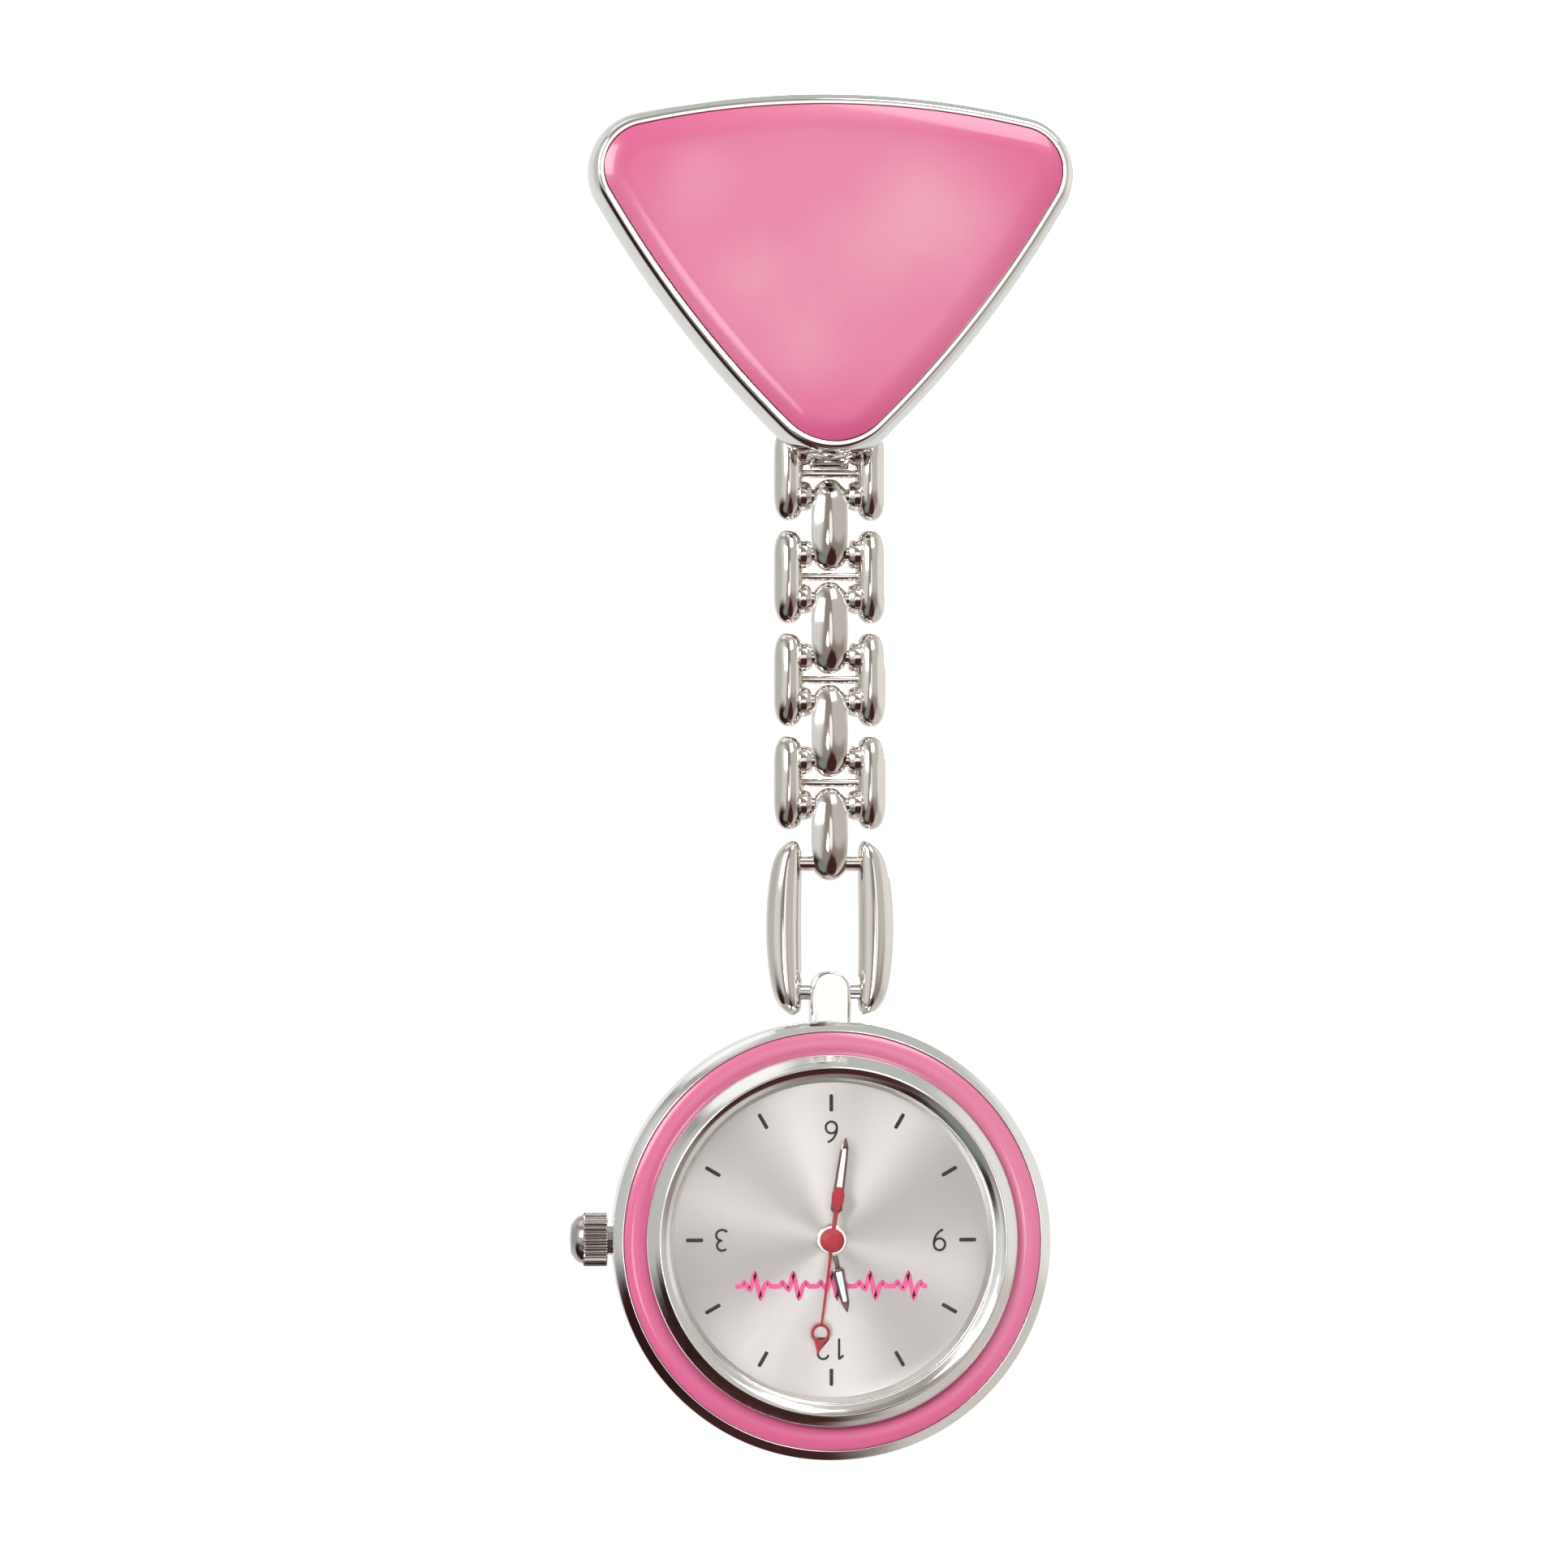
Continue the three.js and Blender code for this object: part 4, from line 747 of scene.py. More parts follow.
bar_plan = oval(11.9, 1.6, 6, 160)
base_shells = [plate(bar_plan, "y", BASE_REAR - SHEET, BASE_REAR, 0.1, 4)]
ear_plan = rounded([
    (HINGE_X - 0.75, BASE_REAR - 0.1), (HINGE_X + 0.75, BASE_REAR - 0.1), (HINGE_X + 0.75, 0.4, 0.3),
    (HINGE_X + 0.35, 0.75, 0.3), (HINGE_X - 0.35, 0.75, 0.3), (HINGE_X - 0.75, 0.4, 0.3),
], 6, closed=True)
base_shells += [plate(ear_plan, "z", low, low + SHEET, 0.06) for low in (0.7, -1.1)]
cheek_side = rounded([
    (BASE_REAR - 0.1, -1.0), (0.3, -1.25, 0.5), (1.0, -0.85, 0.22), (1.0, -SLOT, 0.15), (-0.45, -SLOT, 0.3),
    (-0.45, SLOT, 0.3), (1.0, SLOT, 0.15), (1.0, 0.85, 0.22), (0.3, 1.25, 0.5), (BASE_REAR - 0.1, 1.0),
], 6, closed=True)
base_shells += [plate(cheek_side, "x", CATCH_X + low, CATCH_X + low + SHEET, 0.05) for low in (-1.05, 0.65)]
dome = spaced(rounded([
    (0.75, BASE_REAR - 0.05), (0.75, BASE_REAR + 0.02, 0.02), (0.55, BASE_REAR + 0.22, 0.2),
    (0.02, BASE_REAR + 0.3),
], 6), 0.1)
base_shells += [turned(dome, 40, "pole", (x, 0, 0)) for x in (-5.2, 5.2)]
piece("pin_base_plate", base_shells, "brooch", plate_steel, ["pin_base_bar"])

rivet_head = [(0.3, 1.1), (0.42, 1.12, 0.04), (0.42, 1.2, 0.06), (0.3, 1.3, 0.1), (0.02, 1.32)]
rivet_foot = [(r, -h, *edge) for r, h, *edge in reversed(rivet_head)]
rivet_side = spaced(rounded(rivet_foot + rivet_head, 4), 0.2)
rivet = turned_z(rivet_side, (HINGE_X, 0, 0), 32)
piece("hinge_rivet", [rivet], "brooch", steel, ["needle_rivet"])

ROLLER_R, ROLLER_HALF = 1.15, 0.6
mouth_angle = math.asin(SLOT / ROLLER_R)
roller_turn = np.linspace(mouth_angle, 2 * math.pi - mouth_angle, 60)
roller_side = ROLLER_R * np.stack([np.cos(roller_turn), np.sin(roller_turn)], axis=-1)
mouth = rounded([roller_side[-1], (-0.45, -SLOT, 0.3), (-0.45, SLOT, 0.3), roller_side[0]], 6)
roller_side = np.concatenate([roller_side, mouth[1:-1]])
tab_side = rounded([
    (0.3, -0.8), (0.3, -1.8, 0.1), (0.42, -1.9, 0.1), (0.66, -1.9, 0.1), (0.75, -1.8, 0.1), (0.75, -0.8),
], 5, closed=True)
ends = CATCH_X - ROLLER_HALF, CATCH_X + ROLLER_HALF
catch_shells = [plate(roller_side, "x", *ends, 0.06), plate(tab_side, "x", *ends, 0.1)]
piece("catch_roller", catch_shells, "safety_catch", steel, ["safety_catch"])

# %% [markdown]
# ## Needle
# The needle is a spring wire ground to a point, with a coined eye round the rivet. A profile turned
# along x gives the wire, and the taper is an ogive because a grinder leaves no straight cone.

# %% Grind the needle
GRIND_X, GRIND_LENGTH = 8.2, 4.2  # where the taper starts, and its length
shank_x = np.concatenate([np.linspace(HINGE_X + 0.5, GRIND_X, 40), np.linspace(GRIND_X + 0.2, 12.38, 40)])
taper = np.clip((shank_x - GRIND_X) / GRIND_LENGTH, 0, 1)
shank = np.stack([shank_x, 0.38 * (1 - taper**1.6) + 0.02], axis=-1)
eye_side = spaced(rounded([(0.05, -0.62), (0.7, -0.62, 0.18), (0.7, 0.62, 0.18), (0.05, 0.62)], 6), 0.15)
eye = turned_z(eye_side, (HINGE_X, 0, 0), 48)
wire_shell = turned_x(shank, (0, 0, 0), 32)
piece("ground_needle", [wire_shell, eye], "needle", steel, ["brooch_needle"])

# %% [markdown]
# ## Chain
# Each outer link is one casting: two barrel-shaped bars, two cross bars and a short bridge between them.
# A barrel's rings are ovals a little sharper than ellipses, so each bar shows a left and a right face
# that mirror two different sides of the room. Centre links are worked in the same way.

# %% Cast the chain links
BAR_OVAL, ARM_OVAL = 1.8, 1.85  # powers of the bars' and arms' rings: 1 is a diamond and 2 an ellipse
BAR_HALF = 0.975  # half the width of a side bar
LINK_HALF, LINK_DEEP = 3.025, 1.1
PIN_APART = 2.88
CENTRE_HALF, CENTRE_TALL = 1.12, 2.985


def barrel(centre_x, half_width, middle, rows=72):
    """A bar whose rings are ovals. With t from -1 to 1 along the bar, their half width falls off as
    (1 - |t|^4.4)^(1/2.4) and their half depth as (1 - |t|^2.5)^(1/2.1)."""
    t = np.sin(np.linspace(-1, 1, rows) * np.pi / 2) * 0.9995
    wide = half_width * (1 - np.abs(t) ** 4.4) ** (1 / 2.4)
    deep = LINK_DEEP * (1 - np.abs(t) ** 2.5) ** (1 / 2.1)
    section = oval(1, 1, BAR_OVAL, 64)
    x = centre_x + wide[:, None] * section[:, 0]
    y = CHAIN_Y + deep[:, None] * section[:, 1]
    z = middle + LINK_HALF * t[:, None] + 0 * x
    return shell_of(np.stack([x, y, z], axis=-1), "pole")


def cross_bar(z, half_length, radius=0.5):
    """A round bar across the chain with rounded ends."""
    end = half_length
    side = rounded([(-end, 0.02), (-end, radius, 0.15), (end, radius, 0.15), (end, 0.02)], 5)
    return turned_x(spaced(side, 0.4), (0, CHAIN_Y, z), 40)


COLLAR = spaced(rounded([
    (1.20, 0.48), (1.20, 0.82, 0.12), (1.55, 0.98, 0.3), (2.1, 0.98, 0.2), (2.1, 0.48),
], 6), 0.15)


def outer_link(number):
    """Two barrels, two cross bars with a collar at each end, and the bridge between the centre links."""
    node = f"outer_link_{number}"
    low, high = box_mm(node)
    middle = (low[2] + high[2]) / 2
    bar_x = high[0] - BAR_HALF
    bridge = moved(plate(oval(0.5, 0.27, 3, 40), "x", -bar_x, bar_x, 0.05), (0, CHAIN_Y + 0.1, middle))
    shells = [barrel(-bar_x, BAR_HALF, middle), barrel(bar_x, BAR_HALF, middle), bridge]
    for side in (-1, 1):
        pin = middle + side * PIN_APART / 2
        shells += [cross_bar(pin, bar_x - 0.3)]
        shells += [turned_x(COLLAR * [end, 1], (0, CHAIN_Y, pin), 48) for end in (-1, 1)]
    piece(f"cast_outer_link_{number}", shells, node, cast_chrome, [node])


def centre_link(number):
    """Rings run round the link at each width v. Seen from the side each is an oval of power 2.3 with
    half axes 1.1 (1 - 0.34 |v|^1.8) and 2.985 (1 - 0.17 |v|^2.6), which arches both ends."""
    node = f"centre_link_{number}"
    middle = middle_of(node)[2]
    v = np.sin(np.linspace(-1, 1, 41) * np.pi / 2)
    deep = LINK_DEEP * (1 - 0.34 * np.abs(v) ** 1.8)
    tall = CENTRE_TALL * (1 - 0.17 * np.abs(v) ** 2.6)
    side = oval(1, 1, 2.3, 96)
    y = CHAIN_Y + deep[:, None] * side[:, 0]
    z = tall[:, None] * side[:, 1]
    narrow = 1 - 0.22 * np.abs(z / CENTRE_TALL) ** 2.2
    x = CENTRE_HALF * v[:, None] * narrow
    shell = shell_of(np.stack([x, y, z + middle], axis=-1), "cap")
    piece(f"cast_centre_link_{number}", [shell], node, cast_chrome, [node])


for number in LINKS:
    outer_link(number)
    centre_link(number)

# %% [markdown]
# ## Long link
# The last link is a stirrup: two bowed arms with a cross bar at the top and the bail's pin at the bottom.
# Its outer edge bows like a barrel stave, and the arms' ends are rounded off.

# %% Bow the long link
long_low, long_high = box_mm("long_link")
LONG_MIDDLE = (long_low[2] + long_high[2]) / 2
LONG_HALF = (long_high[2] - long_low[2]) / 2


def stave(sign, rows=110):
    """An arm between outer edge 4.1 - 0.7 t^2 - 0.6 t^8 and inner edge 1.85 - 0.1 t^2, where t runs from
    -1 at the foot to 1 at the shoulder. Both ends close as (1 - |t|^14)^(1/2.2)."""
    t = np.sin(np.linspace(-1, 1, rows) * np.pi / 2) * 0.9995
    outer = 4.1 - 0.7 * t**2 - 0.6 * t**8
    inner = 1.85 - 0.1 * t**2
    close = (1 - np.abs(t) ** 14) ** (1 / 2.2)
    wide, centre = (outer - inner) / 2 * close, (outer + inner) / 2
    deep = LINK_DEEP * close * (1 - 0.18 * t**2)
    section = oval(1, 1, ARM_OVAL, 72)
    x = sign * (centre[:, None] + wide[:, None] * section[:, 0])
    y = CHAIN_Y + deep[:, None] * section[:, 1]
    z = LONG_MIDDLE + LONG_HALF * t[:, None] + 0 * x
    return shell_of(np.stack([x, y, z], axis=-1), "pole")


bail_z = middle_of("bail_pin")[2]
top_bar = cross_bar(2 * LONG_MIDDLE - bail_z, 2.6)
stirrup = [stave(-1), stave(1), top_bar]
piece("cast_long_link", stirrup, "long_link", cast_chrome, ["long_link"])
piece("bail_bar", [cross_bar(bail_z, 3.4)], "long_link", steel, ["bail_pin"])

# %% [markdown]
# ## Watch case
# The case is turned from bar: a polished rim, a channel for the enamel and a seat for the back.
# The same turned() makes it from one profile, and the bail's tongue is a plate sunk into its top.

# %% Turn the case and its bail
ROUND = 256  # sides of the case's large turned pieces
case_profile = spaced(rounded([
    (11.5, -2.2), (13.32, -2.2, 0.03), (13.34, -2.76, 0.03), (13.40, -2.76, 0.04),
    (13.70, -2.50, 0.8), (14.0, -2.20, 0.22), (14.0, 2.2, 0.35), (13.6, 2.65, 0.15),
    (12.3, 2.65, 0.05), (12.3, 2.15, 0.05), (11.5, 2.15, 0.05),
], 6, closed=True), 0.3, closed=True)
tongue_plan = rounded([(-1.3, 13.5), (1.3, 13.5), (1.3, 17.25, 1.25), (-1.3, 17.25, 1.25)], 20, closed=True)
tongue = moved(plate(tongue_plan, "y", -1.1, 1.1, 0.24, 6), CASE)
case_shells = [turned(case_profile, ROUND, "loop"), tongue]
piece("turned_case", case_shells, "watch", chrome, ["case_body"])

# %% [markdown]
# ## Enamel ring, bezel and crystal
# Round the dial sit a low swell of pink enamel, a satin bezel with a ridge, and the crystal. The ridge's
# outer and inner slopes face opposite sides of the room, so one is dark where the other is bright.

# %% Turn the bezel and fill the ring
RING_INNER, RING_OUTER, CHANNEL = 11.84, 13.31, -2.23
ring_r = np.linspace(RING_INNER, RING_OUTER, 28)
swell = -2.66 - 0.20 * (1 - ((ring_r - 12.575) / 0.736) ** 2) ** 0.8
ring_floor = [[RING_OUTER, CHANNEL], [RING_INNER, CHANNEL]]
ring_profile = np.concatenate([np.stack([ring_r, swell], axis=-1), ring_floor])
ring_shell = turned(spaced(ring_profile, 0.3, closed=True), ROUND, "loop")
piece("ring_fill", [ring_shell], "watch", ring_pink, ["enamel_ring"])

bezel_profile = rounded([
    (11.80, CHANNEL), (11.80, -3.18, 0.05), (11.40, -3.66, 2.0), (11.06, -3.99, 0.12),
    (10.72, -3.86, 0.9), (10.41, -3.64, 0.04), (10.41, -3.53, 0.03), (10.66, -3.53, 0.02),
    (10.66, -2.86), (10.24, -2.84, 0.06), (10.02, -1.32, 0.05), (11.4, -1.30, 0.05), (11.4, CHANNEL),
], 8, closed=True)
bezel_shell = turned(spaced(bezel_profile, 0.2, closed=True), ROUND, "loop")
piece("rolled_bezel", [bezel_shell], "watch", satin_chrome, ["bezel"])

PANE_BACK, PANE_FRONT = -2.88, -3.62
pane_side = [(0.02, PANE_BACK), (10.38, PANE_BACK, 0.04), (10.38, PANE_FRONT, 0.12), (0.02, PANE_FRONT)]
pane_shell = turned(spaced(rounded(pane_side, 6), 1.0), ROUND, "pole")
piece("watch_glass", [pane_shell], "watch", glass, ["crystal"])
seal_side = [(10.41, PANE_BACK, 0.04), (10.62, PANE_BACK, 0.04), (10.62, -3.50, 0.04), (10.41, -3.50, 0.04)]
seal_shell = turned(rounded(seal_side, 3, closed=True), 192, "loop")
piece("glass_seal", [seal_shell], "watch", clear_rubber, ["crystal_gasket"])

# %% [markdown]
# ## Case back
# The back is pressed on. It has a wide flange, a step and a flat centre, and lathe marks run round it:
# the finish uses rings of noise in the distance from the axis, the way a turning tool leaves them.

# %% Turn the case back


def lathe_finish(name, centre):
    """Steel whose grooves are noise in r = |(x, z)|, with faint cloud in colour and gloss."""
    made, tree, shader, _ = new_finish(name)
    radius = vector_node(tree, "LENGTH", place(tree, centre, (1, 0, 1)))
    along = node_in(tree, "ShaderNodeCombineXYZ")
    wire(tree, radius, along.inputs[0])
    groove = noise(tree, along.outputs[0], 9000, 3.0, 0.7)
    cloud = noise(tree, place(tree), 150, 3.0)
    tint = mix_colour(tree, cloud, (0.56, 0.56, 0.55, 1), (0.70, 0.70, 0.69, 1))
    wire(tree, tint, shader.inputs["Base Color"])
    wire(tree, smooth_range(tree, groove, 0.3, 0.7, 0.16, 0.30), shader.inputs["Roughness"])
    shader.inputs["Metallic"].default_value = 1.0
    bump(tree, shader, groove, 0.35, 0.006)
    return made


lathe_steel = lathe_finish("lathe_turned_steel", CASE)
back_profile = spaced(rounded([
    (0.02, 2.68), (13.3, 2.68, 0.05), (13.3, 3.12, 0.12), (12.9, 3.40, 0.2), (11.05, 3.45, 0.12),
    (10.45, 3.98, 0.2), (9.3, 4.0, 0.05), (9.2, 3.93, 0.05), (9.0, 3.93, 0.05), (8.9, 4.0, 0.05), (0.02, 4.0),
], 6), 0.4)
piece("snap_back", [turned(back_profile, ROUND, "pole")], "watch", lathe_steel, ["case_back"])

# %% [markdown]
# ## Dial
# The dial is a thin disc with a brushed face. Its twelve hour marks and its numbers are printed, so they
# stand only a few hundredths of a millimetre high. They are upside down, since the wearer looks from above.

# %% Print the dial
dial_front = dial_box[0][1] - CASE[1]
dial_side = [(0.8, dial_front), (10.98, dial_front, 0.03), (10.98, -0.8, 0.03), (0.8, -0.8)]
dial_shell = turned(spaced(rounded(dial_side, 3, closed=True), 0.7, closed=True), ROUND, "loop")
piece("sunray_dial", [dial_shell], "watch", dial_silver, ["dial"])

PRINT_BACK, PRINT_FRONT = dial_front + 0.01, dial_front - 0.035


def turn_flat(points, degrees):
    """(x, z) points turned clockwise for the viewer: x' = x cos a + z sin a, z' = z cos a - x sin a."""
    a = math.radians(degrees)
    c, s = math.cos(a), math.sin(a)
    return points @ np.array([[c, -s], [s, c]])


def printed(outline):
    """A flat outline printed on the dial."""
    return moved(plate(outline, "y", PRINT_FRONT, PRINT_BACK, 0.012, 2), CASE)


mark = oval(0.12, 0.545, 8, 28, (0, 8.76))
marks = [printed(turn_flat(mark, 30 * hour)) for hour in range(12)]
piece("hour_marks", marks, "watch", ink_black)


def arc(x, y, rx, ry, start, end, count=18):
    """Points on an ellipse about (x, y) from one angle to another, in degrees."""
    angle = np.radians(np.linspace(start, end, count))
    return np.stack([x + rx * np.cos(angle), y + ry * np.sin(angle)], axis=-1)


# Digits as pen paths in a box 0.62 wide and 1 high.
SIX = np.concatenate([arc(0.62, 0.32, 0.57, 0.67, 104, 178, 14), arc(0.31, 0.29, 0.26, 0.27, 172, 532, 34)])
DIGITS = {
    "1": [np.array([[0.14, 0.80], [0.34, 0.98], [0.34, 0.02]])],
    "2": [np.concatenate([arc(0.30, 0.71, 0.25, 0.26, 165, -32), [[0.05, 0.03], [0.60, 0.03]]])],
    "3": [arc(0.27, 0.745, 0.24, 0.235, 140, -90), arc(0.27, 0.27, 0.28, 0.25, 90, -145)],
    "6": [SIX],
    "9": [np.array([0.62, 1.0]) - SIX],
}


def stroke(path, half_width, front, back):
    """A pen stroke: each ring is the four corners at path +- n half_width, where n is the path's normal."""
    slope = np.gradient(path, axis=0)
    normal = np.stack([-slope[:, 1], slope[:, 0]], axis=-1) / np.linalg.norm(slope, axis=1, keepdims=True)
    left, right = path + normal * half_width, path - normal * half_width
    sides = [(left, front), (right, front), (right, back), (left, back)]
    corners = [np.stack([p[:, 0], np.full(len(p), y), p[:, 1]], axis=-1) for p, y in sides]
    return moved(shell_of(np.stack(corners, axis=1), "cap"), CASE)


PITCH, DIGIT_WIDTH = 0.78, 0.62  # of the digits, over their height


def number_print(text, at, height=1.38, pen=0.075):
    """The digits of a number, laid out about a place on the dial and turned half round."""
    out = []
    width = PITCH * (len(text) - 1) + DIGIT_WIDTH
    for k, digit in enumerate(text):
        for path in DIGITS[digit]:
            flat = (path + [PITCH * k - width / 2, -0.5]) * height
            out.append(stroke(spaced(np.array(at) - flat, 0.12), pen, PRINT_FRONT, PRINT_BACK))
    return out


NUMBERS = {"12": (0, -6.95), "3": (-7.05, 0), "6": (0, 6.9), "9": (6.95, 0)}
numbers = [shell for text, at in NUMBERS.items() for shell in number_print(text, at)]
piece("hour_numbers", numbers, "watch", ink_black)

# %% [markdown]
# ### Pulse line
# Below the hub, where a maker would put a name, this dial carries a heartbeat trace in the case's pink.
# It is one pen path, a flat line with a peak and a dip, repeated five times.

# %% Print the pulse line
beat = np.array([
    [0, 0], [0.35, 0], [0.55, 0.30], [0.75, 0], [0.95, -0.25], [1.25, 0.88], [1.60, -0.80], [1.85, 0],
    [2.05, 0.28], [2.25, 0], [2.46, 0],
])
PULSE_AT, BEATS = (-6.15, -2.95), 5
trace = np.concatenate([beat + [beat[-1, 0] * k, 0] for k in range(BEATS)])
trace = trace[np.concatenate([[True], np.any(np.diff(trace, axis=0) != 0, axis=1)])]
pulse = [stroke(spaced(trace + PULSE_AT, 0.14), 0.15, PRINT_FRONT, PRINT_BACK)]
piece("pulse_line", pulse, "watch", ink_pink)

# %% [markdown]
# ## Hands
# Each baton hand is a slotted frame round a pale inlay, on a polished boss; the frame is painted dark maroon,
# a painted reflection of the dark room in its silver metal. The frame is a loop of five-cornered rings: the
# outer and the inner contour run side by side, with a crest between them.

# %% Cut the hour and minute hands
MINUTE_ANGLE, HOUR_ANGLE, SECOND_ANGLE = 7.8, 167.7, 187.4
BLADE_START = 1.72  # where a hand's blade starts, from the dial's centre


def placed(shell, degrees):
    """A shell drawn pointing up, turned clockwise about the dial's axis and set on the case's centre."""
    points = shell[0].copy()
    points[:, [0, 2]] = turn_flat(points[:, [0, 2]], degrees)
    return points + CASE, shell[1]


def both_sides(radius, half):
    """Up the right side and down the left: (half, r) and then (-half, r)."""
    return np.concatenate([np.stack([half, radius], axis=-1), np.stack([-half, radius], axis=-1)[::-1]])


def standing(plan, y):
    """(x, z) points as (x, y, z) points at one depth."""
    return np.stack([plan[:, 0], np.full(len(plan), y), plan[:, 1]], axis=-1)


def blade_frame(length, front, back, count=40):
    """The slotted blade and its slot's outline. Both contours interpolate half widths along the hand:
    0.14 at the neck, 0.38 at the shoulder, 0.25 near the tip and 0.03 at it, and 0.19 to 0.12 inside."""
    outer_r = np.linspace(BLADE_START, length, count)
    stations = [BLADE_START, BLADE_START + 0.25, length - 0.6, length]
    outer = both_sides(outer_r, np.interp(outer_r, stations, [0.14, 0.38, 0.25, 0.03]))
    slot_ends = [BLADE_START + 0.36, length - 0.72]
    inner_r = np.linspace(*slot_ends, count)
    inner = both_sides(inner_r, np.interp(inner_r, slot_ends, [0.19, 0.12]))
    crest, edge = outer * 0.55 + inner * 0.45, front + 0.05
    lanes = [(outer, back), (outer, edge), (crest, front), (inner, edge), (inner, back)]
    rings = np.stack([standing(plan, y) for plan, y in lanes], axis=1)
    return shell_of(rings, "loop"), inner


def neck(start, end, front, back):
    """The thin neck from the boss to the blade."""
    plan = np.array([[0.15, start], [0.15, end], [-0.15, end], [-0.15, start]])
    return plate(plan, "y", front, back, 0.04)


def boss(radius, front, back, bore=0.3):
    """A turned boss with a rolled edge."""
    side = rounded([(bore, front), (radius, front, 0.1), (radius, back, 0.02), (bore, back)], 6, closed=True)
    return turned(spaced(side, 0.2, closed=True), 72, "loop", (0, 0, 0))


def baton(name, node, length, angle, boss_r, front, back, inlay):
    """A baton hand in three pieces: the blade, painted dark as a painted reflection of the room, its inlay
    and a polished boss.
    """
    blade, slot_line = blade_frame(length, front, back)
    blade_shells = [blade, neck(boss_r - 0.2, 1.95, front + 0.02, back)]
    # The blade's dark colour is a painted reflection of the dark room in the silver frame.
    piece(f"{name}_baton", [placed(s, angle) for s in blade_shells], node, hand_reflection_steel, [node])
    fill = plate(inset(slot_line, -0.03), "y", front + 0.045, back - 0.02, 0.01)
    piece(f"{name}_inlay", [placed(fill, angle)], node, inlay)
    piece(f"{name}_boss", [placed(boss(boss_r, front, back), angle)], node, chrome)


baton("hour", "hour_hand", 4.7, HOUR_ANGLE, 0.80, -1.62, -1.48, lume)
baton("minute", "minute_hand", 6.6, MINUTE_ANGLE, 1.0, -1.92, -1.78, white_inlay)

# %% [markdown]
# ### Second hand
# The second hand is a lacquered red wire with a ring near its tip, an arrow head and a counterweight.
# Its cap is a low red dome, the last thing pressed on in the factory.

# %% Stamp the second hand
SECOND_FRONT, SECOND_BACK, RING_AT = -2.3, -2.2, 5.93
rod_r = np.array([-2.0, 0.0, 3.5, RING_AT - 0.45])
wire_plan = both_sides(rod_r, np.array([0.10, 0.11, 0.085, 0.07]))
arrow_plan = np.array([
    (0.36, RING_AT + 0.46), (0.02, 7.3), (-0.02, 7.3), (-0.36, RING_AT + 0.46), (0, RING_AT + 0.60),
])
weight_edge = [(0.13, -1.85), (0.40, -2.55, 0.12), (0.40, -3.05, 0.12), (0.14, -3.45, 0.1)]
weight_plan = rounded(weight_edge + [(-x, *rest) for x, *rest in reversed(weight_edge)], 5, closed=True)
hoop_side = rounded([
    (0.42, SECOND_FRONT, 0.04), (0.62, SECOND_FRONT, 0.04),
    (0.62, SECOND_BACK, 0.02), (0.42, SECOND_BACK, 0.02),
], 4, closed=True)
hoop = turned(hoop_side, 64, "loop", (0, 0, RING_AT))
flat_parts = [plate(p, "y", SECOND_FRONT, SECOND_BACK, 0.03) for p in (wire_plan, arrow_plan, weight_plan)]
cap_side = spaced(rounded([
    (0.02, -2.6), (0.45, -2.585, 0.35), (0.74, -2.38, 0.12), (0.77, -2.2, 0.02), (0.02, -2.19),
], 8), 0.08)
cap = turned(cap_side, 72, "pole", (0, 0, 0))
second_shells = [placed(shell, SECOND_ANGLE) for shell in flat_parts + [hoop, cap]]
piece("sweep_second", second_shells, "second_hand", hand_red, ["second_hand"])

# %% [markdown]
# ## Crown
# The crown is fluted so that fingers can turn it. Its radius follows a cosine of the angle with 26 waves,
# full along the band and fading to nothing on the dome. A power under 1 makes the ridges wide.

# %% Flute the crown
STEM_AT = np.array([0, 0.6, 0]) + CASE
FLUTES, FLUTE_DEPTH, MOUTH_X = 26, 0.20, -14.3


def crown_rings(along, radius, angle):
    """Rings about the stem: (h, r cos a, r sin a)."""
    return np.stack([along + 0 * angle, radius * np.cos(angle), radius * np.sin(angle)], axis=-1)


crown_side = spaced(rounded([
    (MOUTH_X, 1.45), (MOUTH_X, 1.72, 0.08), (-15.78, 1.72, 0.10), (-15.85, 1.56, 0.05),
    (-16.25, 1.42, 0.8), (-16.62, 0.9, 0.5), (-16.7, 0.02),
], 8), 0.06)
along, radius = crown_side[:, :1], crown_side[:, 1:]
angle = np.linspace(0, 2 * np.pi, FLUTES * 14, endpoint=False)
fade = np.clip((along + 15.86) / 0.08, 0, 1) * np.clip((MOUTH_X - 0.02 - along) / 0.06, 0, 1)
wave = (0.5 + 0.5 * np.cos(FLUTES * angle)) ** 0.7
outside = crown_rings(along, radius - FLUTE_DEPTH * fade * (1 - wave), angle)
recess = rounded([(-15.1, 0.5), (-15.1, 1.4, 0.05), (MOUTH_X, 1.45)], 4)
inside = crown_rings(recess[:, :1], recess[:, 1:], angle)
crown_shell = moved(shell_of(np.concatenate([inside, outside]), "pole"), STEM_AT)
piece("fluted_crown", [crown_shell], "crown", crown_steel, ["crown"])

# %% [markdown]
# ## Inside the case
# The movement's parts keep their CAD shapes, since the closed case hides them, and get working finishes:
# brass wheels, a steel bridge and rotor, a copper coil, a green board and a bright cell.

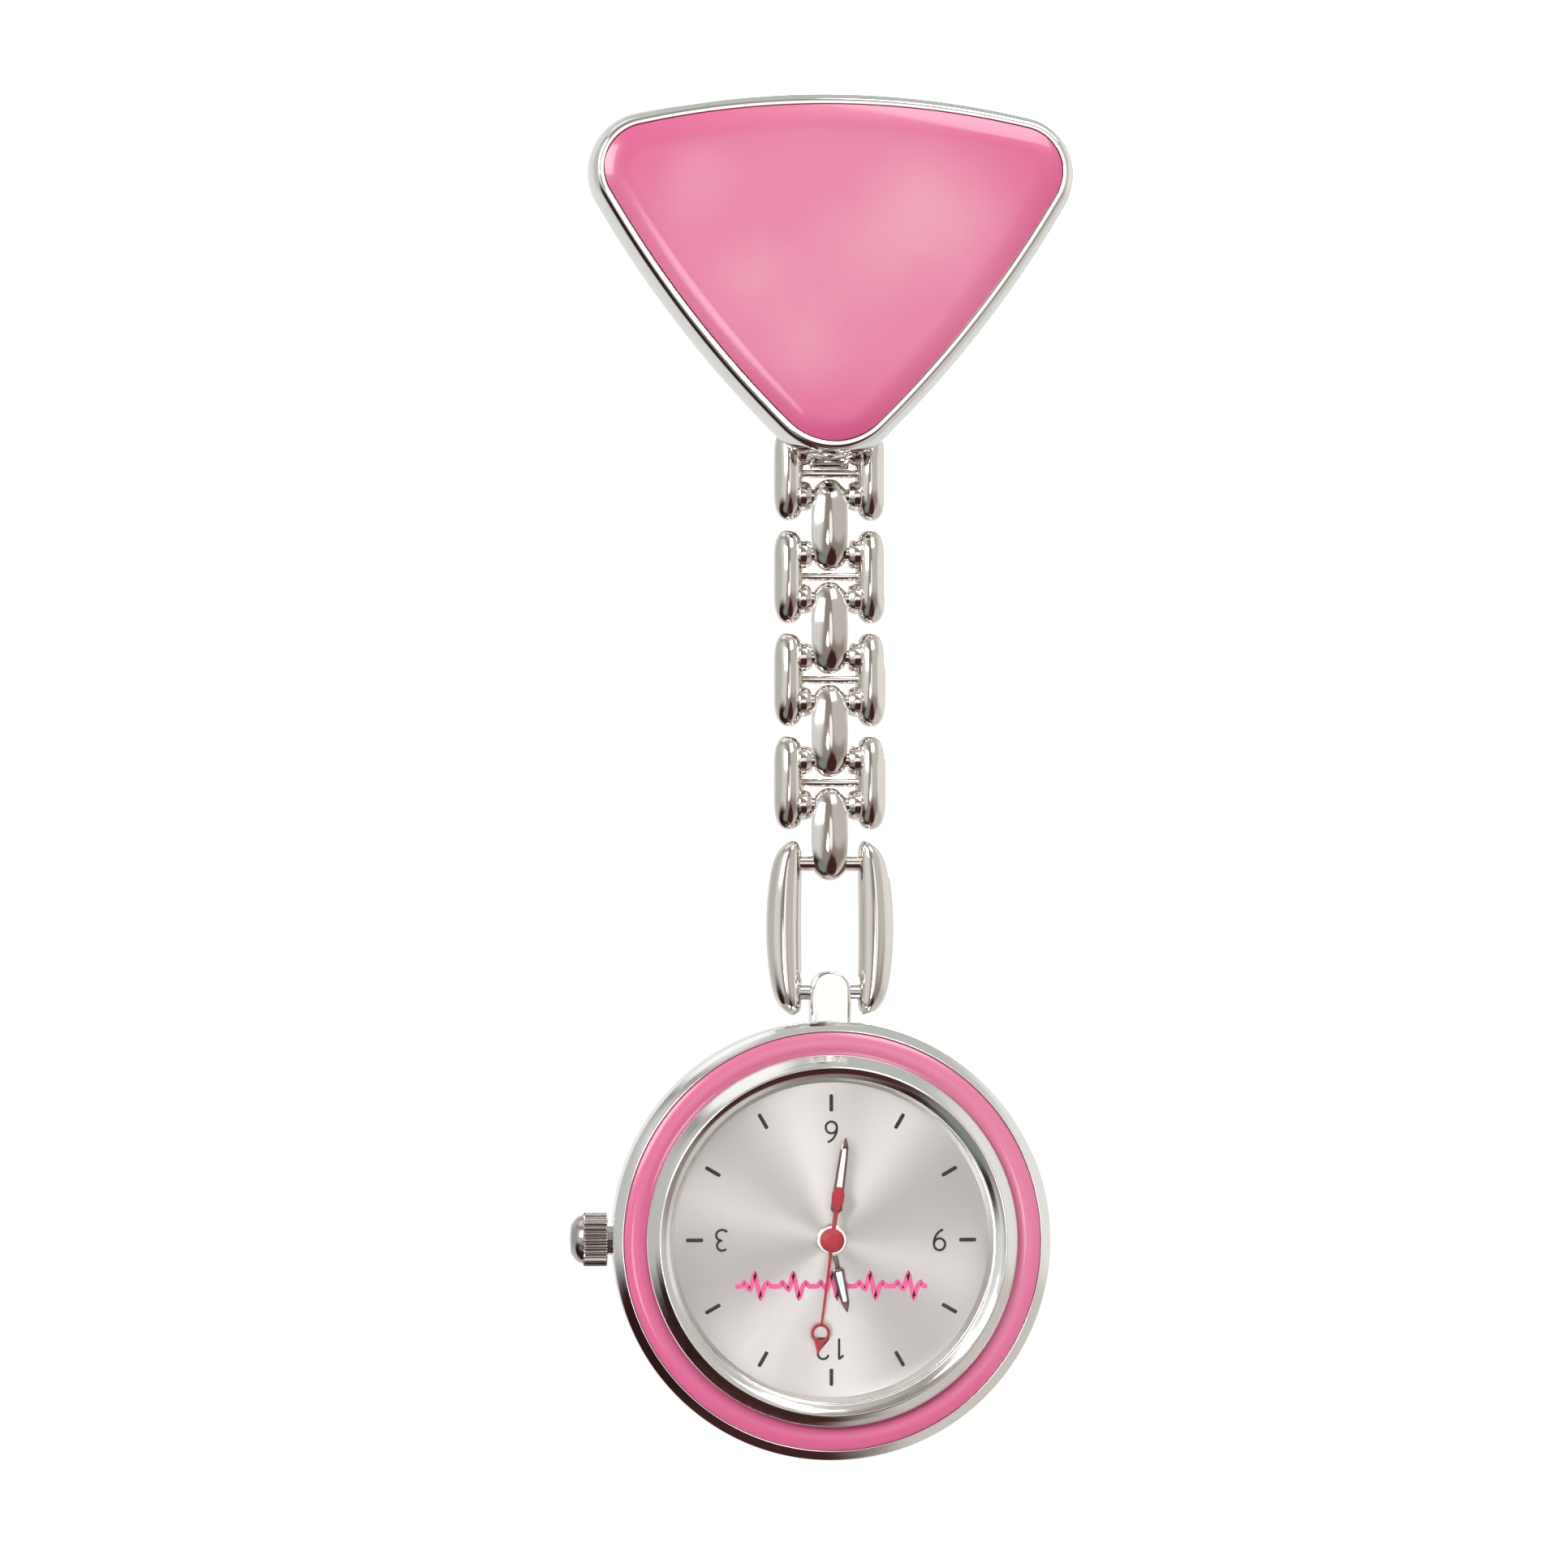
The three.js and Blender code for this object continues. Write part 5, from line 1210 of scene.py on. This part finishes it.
# %% Finish the carried-over parts
CARRIED = [
    (brass, ["fifth_wheel", "seconds_wheel", "third_wheel", "centre_wheel", "minute_wheel", "hour_wheel"]),
    (brass, ["main_plate"]),
    (plate_steel, ["train_bridge", "stator", "battery_strap", "setting_lever"]),
    (steel, ["rotor", "coil_core", "coil_screw_left", "coil_screw_right", "strap_screw"]),
    (steel, ["stem", "sliding_pinion", "case_tube"]),
    (copper, ["coil_winding"]),
    (board_green, ["circuit_board"]),
    (chip_black, ["driver_chip"]),
    (cell_steel, ["timing_crystal", "battery"]),
    (rubber, ["crown_gasket", "back_gasket"]),
    (holder_plastic, ["movement_holder"]),
]
for finish, nodes in CARRIED:
    for node in nodes:
        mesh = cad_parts[node].data
        mesh.materials.clear()
        mesh.materials.append(finish)
print("carried over", sum(len(nodes) for _, nodes in CARRIED))

# %% [markdown]
# ## Table
# The watch hangs over a small pale table, low enough to stay out of the portrait.
# The table is a turned disc with a soft edge, so from any other side it is only a plain pale ground.

# %% Set the table
table_paint, table_tree, table_shader, _ = new_finish("pale_table")
table_grain = noise(table_tree, place(table_tree), 40, 3.0)
table_tint = mix_colour(table_tree, table_grain, (0.86, 0.86, 0.86, 1), (0.90, 0.90, 0.90, 1))
wire(table_tree, table_tint, table_shader.inputs["Base Color"])
table_shader.inputs["Roughness"].default_value = 0.7
TABLE_TOP = cad_low[2] / MM - 30
disc_side = spaced(rounded([(0.02, -3), (80, -3, 1), (80, 0, 1), (0.02, 0)], 6), 6)
disc = turned_z(disc_side, (0, 0, TABLE_TOP), 128)
table_mesh = bpy.data.meshes.new("table")
table_mesh.from_pydata(disc[0] * MM, [], [face.tolist() for group in disc[1] for face in group])
table_mesh.materials.append(table_paint)
table = bpy.data.objects.new("table", table_mesh)
bpy.context.scene.collection.objects.link(table)
table.visible_glossy = False  # the polished metal shows the room and not the table's top

# %% [markdown]
# ## Measure and finish
# The skin has to stay inside the CAD's box, so the CAD's box is written.

# %% Write the sizes and finish
print("CAD box mm", [round((b - a) / MM, 2) for a, b in zip(cad_low, cad_high)])
